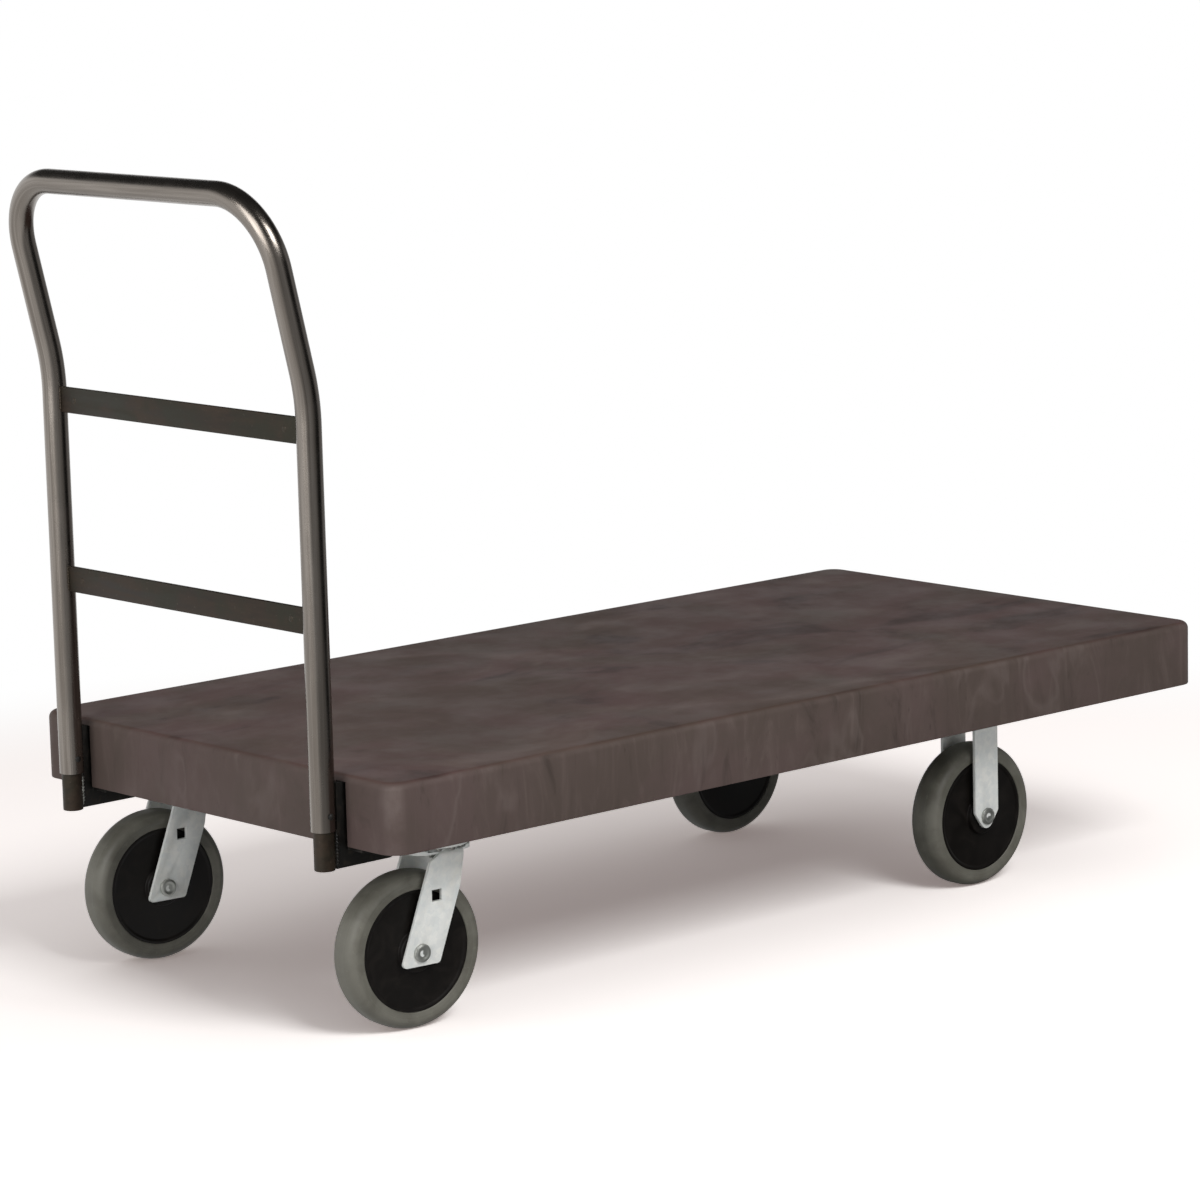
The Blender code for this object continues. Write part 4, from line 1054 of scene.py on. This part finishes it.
def tyre_profile():
    """The tyre's half section: the seat on the core, the side, and the quarter ellipse of the tread."""
    seat = wheel_radius - TYRE_DEPTH
    t = np.linspace(0.0, math.pi / 2, 20)
    tread = columns(
        wheel_radius - TREAD_CROWN * (1 - np.sin(t)),
        TREAD_FLAT / 2 + (tyre_half - TREAD_FLAT / 2) * np.cos(t),
    )
    lip = (seat + 0.0010, CORE_HALF + 0.0007, 0.0012)
    edge = fillet([(seat, 0.0, 0), (seat, CORE_HALF, 0.0006), lip, (*tread[0], 0)])
    return mirrored(np.concatenate([edge[1:-1], tread]))


def core_profile():
    """The core's half section: bore, hub, web, and a rim that is flush with the tyre."""
    seat = wheel_radius - TYRE_DEPTH - TOUCH
    web = CORE_HALF - CORE_DISH
    return mirrored(fillet([
        (BEARING_RADIUS + TOUCH, 0.0, 0), (BEARING_RADIUS + TOUCH, BOSS_HALF, 0.0005),
        (BOSS_RADIUS, BOSS_HALF, 0.0015), (BOSS_RADIUS + 0.0008, web, 0.0012), (seat - CORE_RIM, web, 0.0030),
        (seat - CORE_RIM / 2, CORE_HALF, 0.0030), (seat, CORE_HALF, 0.0006), (seat, 0.0, 0),
    ]))


def plain_ring(inner, outer, half, edge=0.0004):
    """A closed profile of a plain ring with eased edges."""
    return fillet([(inner, half, edge), (outer, half, edge), (outer, -half, edge), (inner, -half, edge)], 3)


def wheel_line(caster):
    """The middle of a wheel and the direction of its axle, from its joint."""
    joint = JOINTS[caster + "_wheel_spin"]
    return np.array(joint["pos_m"]), np.array(joint["axis"])


CASTERS = [kind + "_" + side for kind in ("swivel", "rigid") for side in SIDES]
for caster in CASTERS:
    middle, axis = wheel_line(caster)
    for name, shape in (
        ("tyre", turned(tyre_profile(), 128)),
        ("core", turned(core_profile(), 96)),
        ("bearing", turned(plain_ring(SLEEVE_RADIUS + TOUCH, BEARING_RADIUS, BOSS_HALF), 48)),
        ("sleeve", turned(plain_ring(AXLE_RADIUS + TOUCH, SLEEVE_RADIUS, SLEEVE_HALF), 48)),
    ):
        stand_in(f"{caster}_{name}", [placed(shape, middle, axis)])
print("wheels:", len(CASTERS))

# %% [markdown]
# The axle is a bolt with a wide round head, pressed into a shallow dish, and a nut on the far side. The head
# is a turned profile. The nut is a turned profile too, cut down to a hexagon, which gives the curved chamfer
# that a real nut has where the cone meets its flats. The thread is a ripple of the radius that climbs as it
# goes round.

# %% Axle bolts and nuts
SEAT = 0.0338
HEAD = (0.0118, 0.0044, 0.0030, 0.0014)
NUT_FLATS = 0.00995
NUT_HEIGHT = 0.0100
THREAD = (0.0019, 0.0007)
TIP = (0.8, 0.0008)
OVERLAP = 0.001
PAST_NUT = 0.0012
CHAMFER = 0.0012


def axle_profile():
    """Dished head, shank and threaded tail, as (radius, distance from the wheel's middle)."""
    radius, height, rim, dish = HEAD
    top = SEAT + height
    return fillet([
        (0, top - dish, 0), (radius - 2 * rim, top - dish, 0.002), (radius - rim, top, 0.0015),
        (radius, top - dish, 0.0010), (radius, SEAT, 0), (AXLE_RADIUS, SEAT, 0), (AXLE_RADIUS, -SEAT, 0),
        (0, -SEAT, 0),
    ])


def tail_profile(radius, start, end):
    """A threaded end with a small chamfer, closed at both ends."""
    body = columns(radius, np.linspace(start, end, 40))
    tip = end + np.sign(end - start) * TIP[1]
    return np.concatenate([[(0, start)], body, [(radius * TIP[0], tip), (0, tip)]])


def nut_shape(flats, low, high, bore):
    """A hexagon nut about Z: a ring with cone-cut ends, cut down to six flats."""
    corner = flats / math.cos(math.pi / 6)
    half = [(bore, high), (flats, high), (corner, high - CHAMFER)]
    return turned([(bore, low), (flats, low), (corner, low + CHAMFER)] + half[::-1], 72, hexagon=flats)


for caster in CASTERS:
    middle, axis = wheel_line(caster)
    tail = tail_profile(AXLE_RADIUS, -SEAT + OVERLAP, -SEAT - NUT_HEIGHT - PAST_NUT)
    bolt = [turned(axle_profile(), 64), turned(tail, 48, thread=THREAD)]
    stand_in(caster + "_axle", [placed(shape, middle, -axis) for shape in bolt], sharp=40.0)
    nut = nut_shape(NUT_FLATS, -SEAT - NUT_HEIGHT, -SEAT, AXLE_RADIUS + TOUCH)
    stand_in(caster + "_axle_nut", [placed(nut, middle, -axis)])
print("axles ready")

# %% [markdown]
# The forks, plates and raceways are pressed from zinc-plated strip. Their shapes are the solids' own, so
# merged copies with rounded edges stand in for them. The kingpin, its nut and the balls in their cage are
# turned.

# %% Forks and swivel heads
PRESSED_EDGE = 0.0007
RACE_EDGE = 0.0004
PIN_SHANK = 0.008
PIN_HEAD = 0.005
BALLS = 12
BALL_CIRCLE = 0.036
BALL_FIT = 0.99
CAGE = (0.0345, 0.0375, 0.0008, 0.0002)
for side in SIDES:
    for node_name in (f"swivel_{side}_fork", f"rigid_{side}_fork", f"swivel_{side}_plate"):
        soften(node_name, PRESSED_EDGE)
    soften(f"swivel_{side}_race", RACE_EDGE)

    low, high, middle = corners_of(f"swivel_{side}_kingpin")
    radius = (high[0] - low[0]) / 2
    pin = turned(fillet([
        (0, high[2], 0), (radius, high[2], 0.0012), (radius, high[2] - PIN_HEAD, 0),
        (PIN_SHANK, high[2] - PIN_HEAD, 0), (PIN_SHANK, low[2], 0.0010), (0, low[2], 0),
    ]), 48)
    stand_in(f"swivel_{side}_kingpin", [placed(pin, (*middle[:2], 0.0))])
    low, high, _ = corners_of(f"swivel_{side}_kingpin_nut")
    nut = nut_shape((high[1] - low[1]) / 2, low[2], high[2], PIN_SHANK + TOUCH)
    stand_in(f"swivel_{side}_kingpin_nut", [placed(nut, (*middle[:2], 0.0))])

    low, high, _ = corners_of(f"swivel_{side}_ball_ring")
    middle[2] = (low[2] + high[2]) / 2
    rise = np.linspace(-math.pi / 2, math.pi / 2, 13)
    ball = turned(columns(np.cos(rise), np.sin(rise)) * (high[2] - low[2]) / 2 * BALL_FIT, 20)
    t = turns(BALLS)
    shapes = [placed(ball, spot) for spot in middle + BALL_CIRCLE * columns(np.cos(t), np.sin(t), 0.0)]
    shapes.append(placed(turned(plain_ring(*CAGE), 72), middle))
    stand_in(f"swivel_{side}_ball_ring", shapes)
print("swivels ready")

# %% [markdown]
# Bolts hold the casters and the bracket feet. Each is a hexagon head on a shank. A caster's four bolts go up
# into one tapped plate moulded into the deck, which is part of the same solid.

# %% Bolts
HEAD_FLATS = 0.0069
HEAD_HEIGHT = 0.0055
HEAD_CROWN = (0.94 * HEAD_FLATS, 0.0011)
TOP_GAP = 0.001
INSERT_EDGE = 0.0004
BOLT_THREAD = (0.0015, 0.0005)
CASTER_BOLT_END = 0.004
CASTER_THREAD = 0.012
BRACKET_THREAD = 0.016


def hex_bolt(low, top, thread_from):
    """A bolt about Z, from the foot of its hexagon head up to its top, threaded from a height upwards."""
    corner = HEAD_FLATS / math.cos(math.pi / 6)
    seat = low + HEAD_HEIGHT
    crown, ease = HEAD_CROWN
    head = [(0, low), (crown, low), (corner, low + ease), (corner, seat), (0, seat)]
    tail = tail_profile(BOLT_RADIUS, thread_from - OVERLAP, top - TOP_GAP)
    return together([
        turned(head, 72, hexagon=HEAD_FLATS), rod(BOLT_RADIUS, seat - OVERLAP, thread_from),
        turned(tail, 24, thread=BOLT_THREAD),
    ])


for end, (_, _, middle) in plate_boxes.items():
    low, high, _ = corners_of("caster_bolts_" + end)
    bolt = hex_bolt(low[2], high[2] - CASTER_BOLT_END, high[2] - CASTER_THREAD)
    shapes = [placed(bolt, (*place, 0.0)) for place in bolt_places(middle)]
    shapes.append(soft_box((*low[:2], high[2] - INSERT_DEPTH + TOUCH), high, INSERT_EDGE, 2))
    stand_in("caster_bolts_" + end, shapes)
for side in SIDES:
    for end in ("outer", "inner"):
        name = f"bracket_bolt_{side}_{end}"
        low, high, middle = corners_of(name)
        bolt = hex_bolt(low[2], high[2], high[2] - BRACKET_THREAD)
        stand_in(name, [placed(bolt, (*middle[:2], 0.0))])
print("bolts ready")
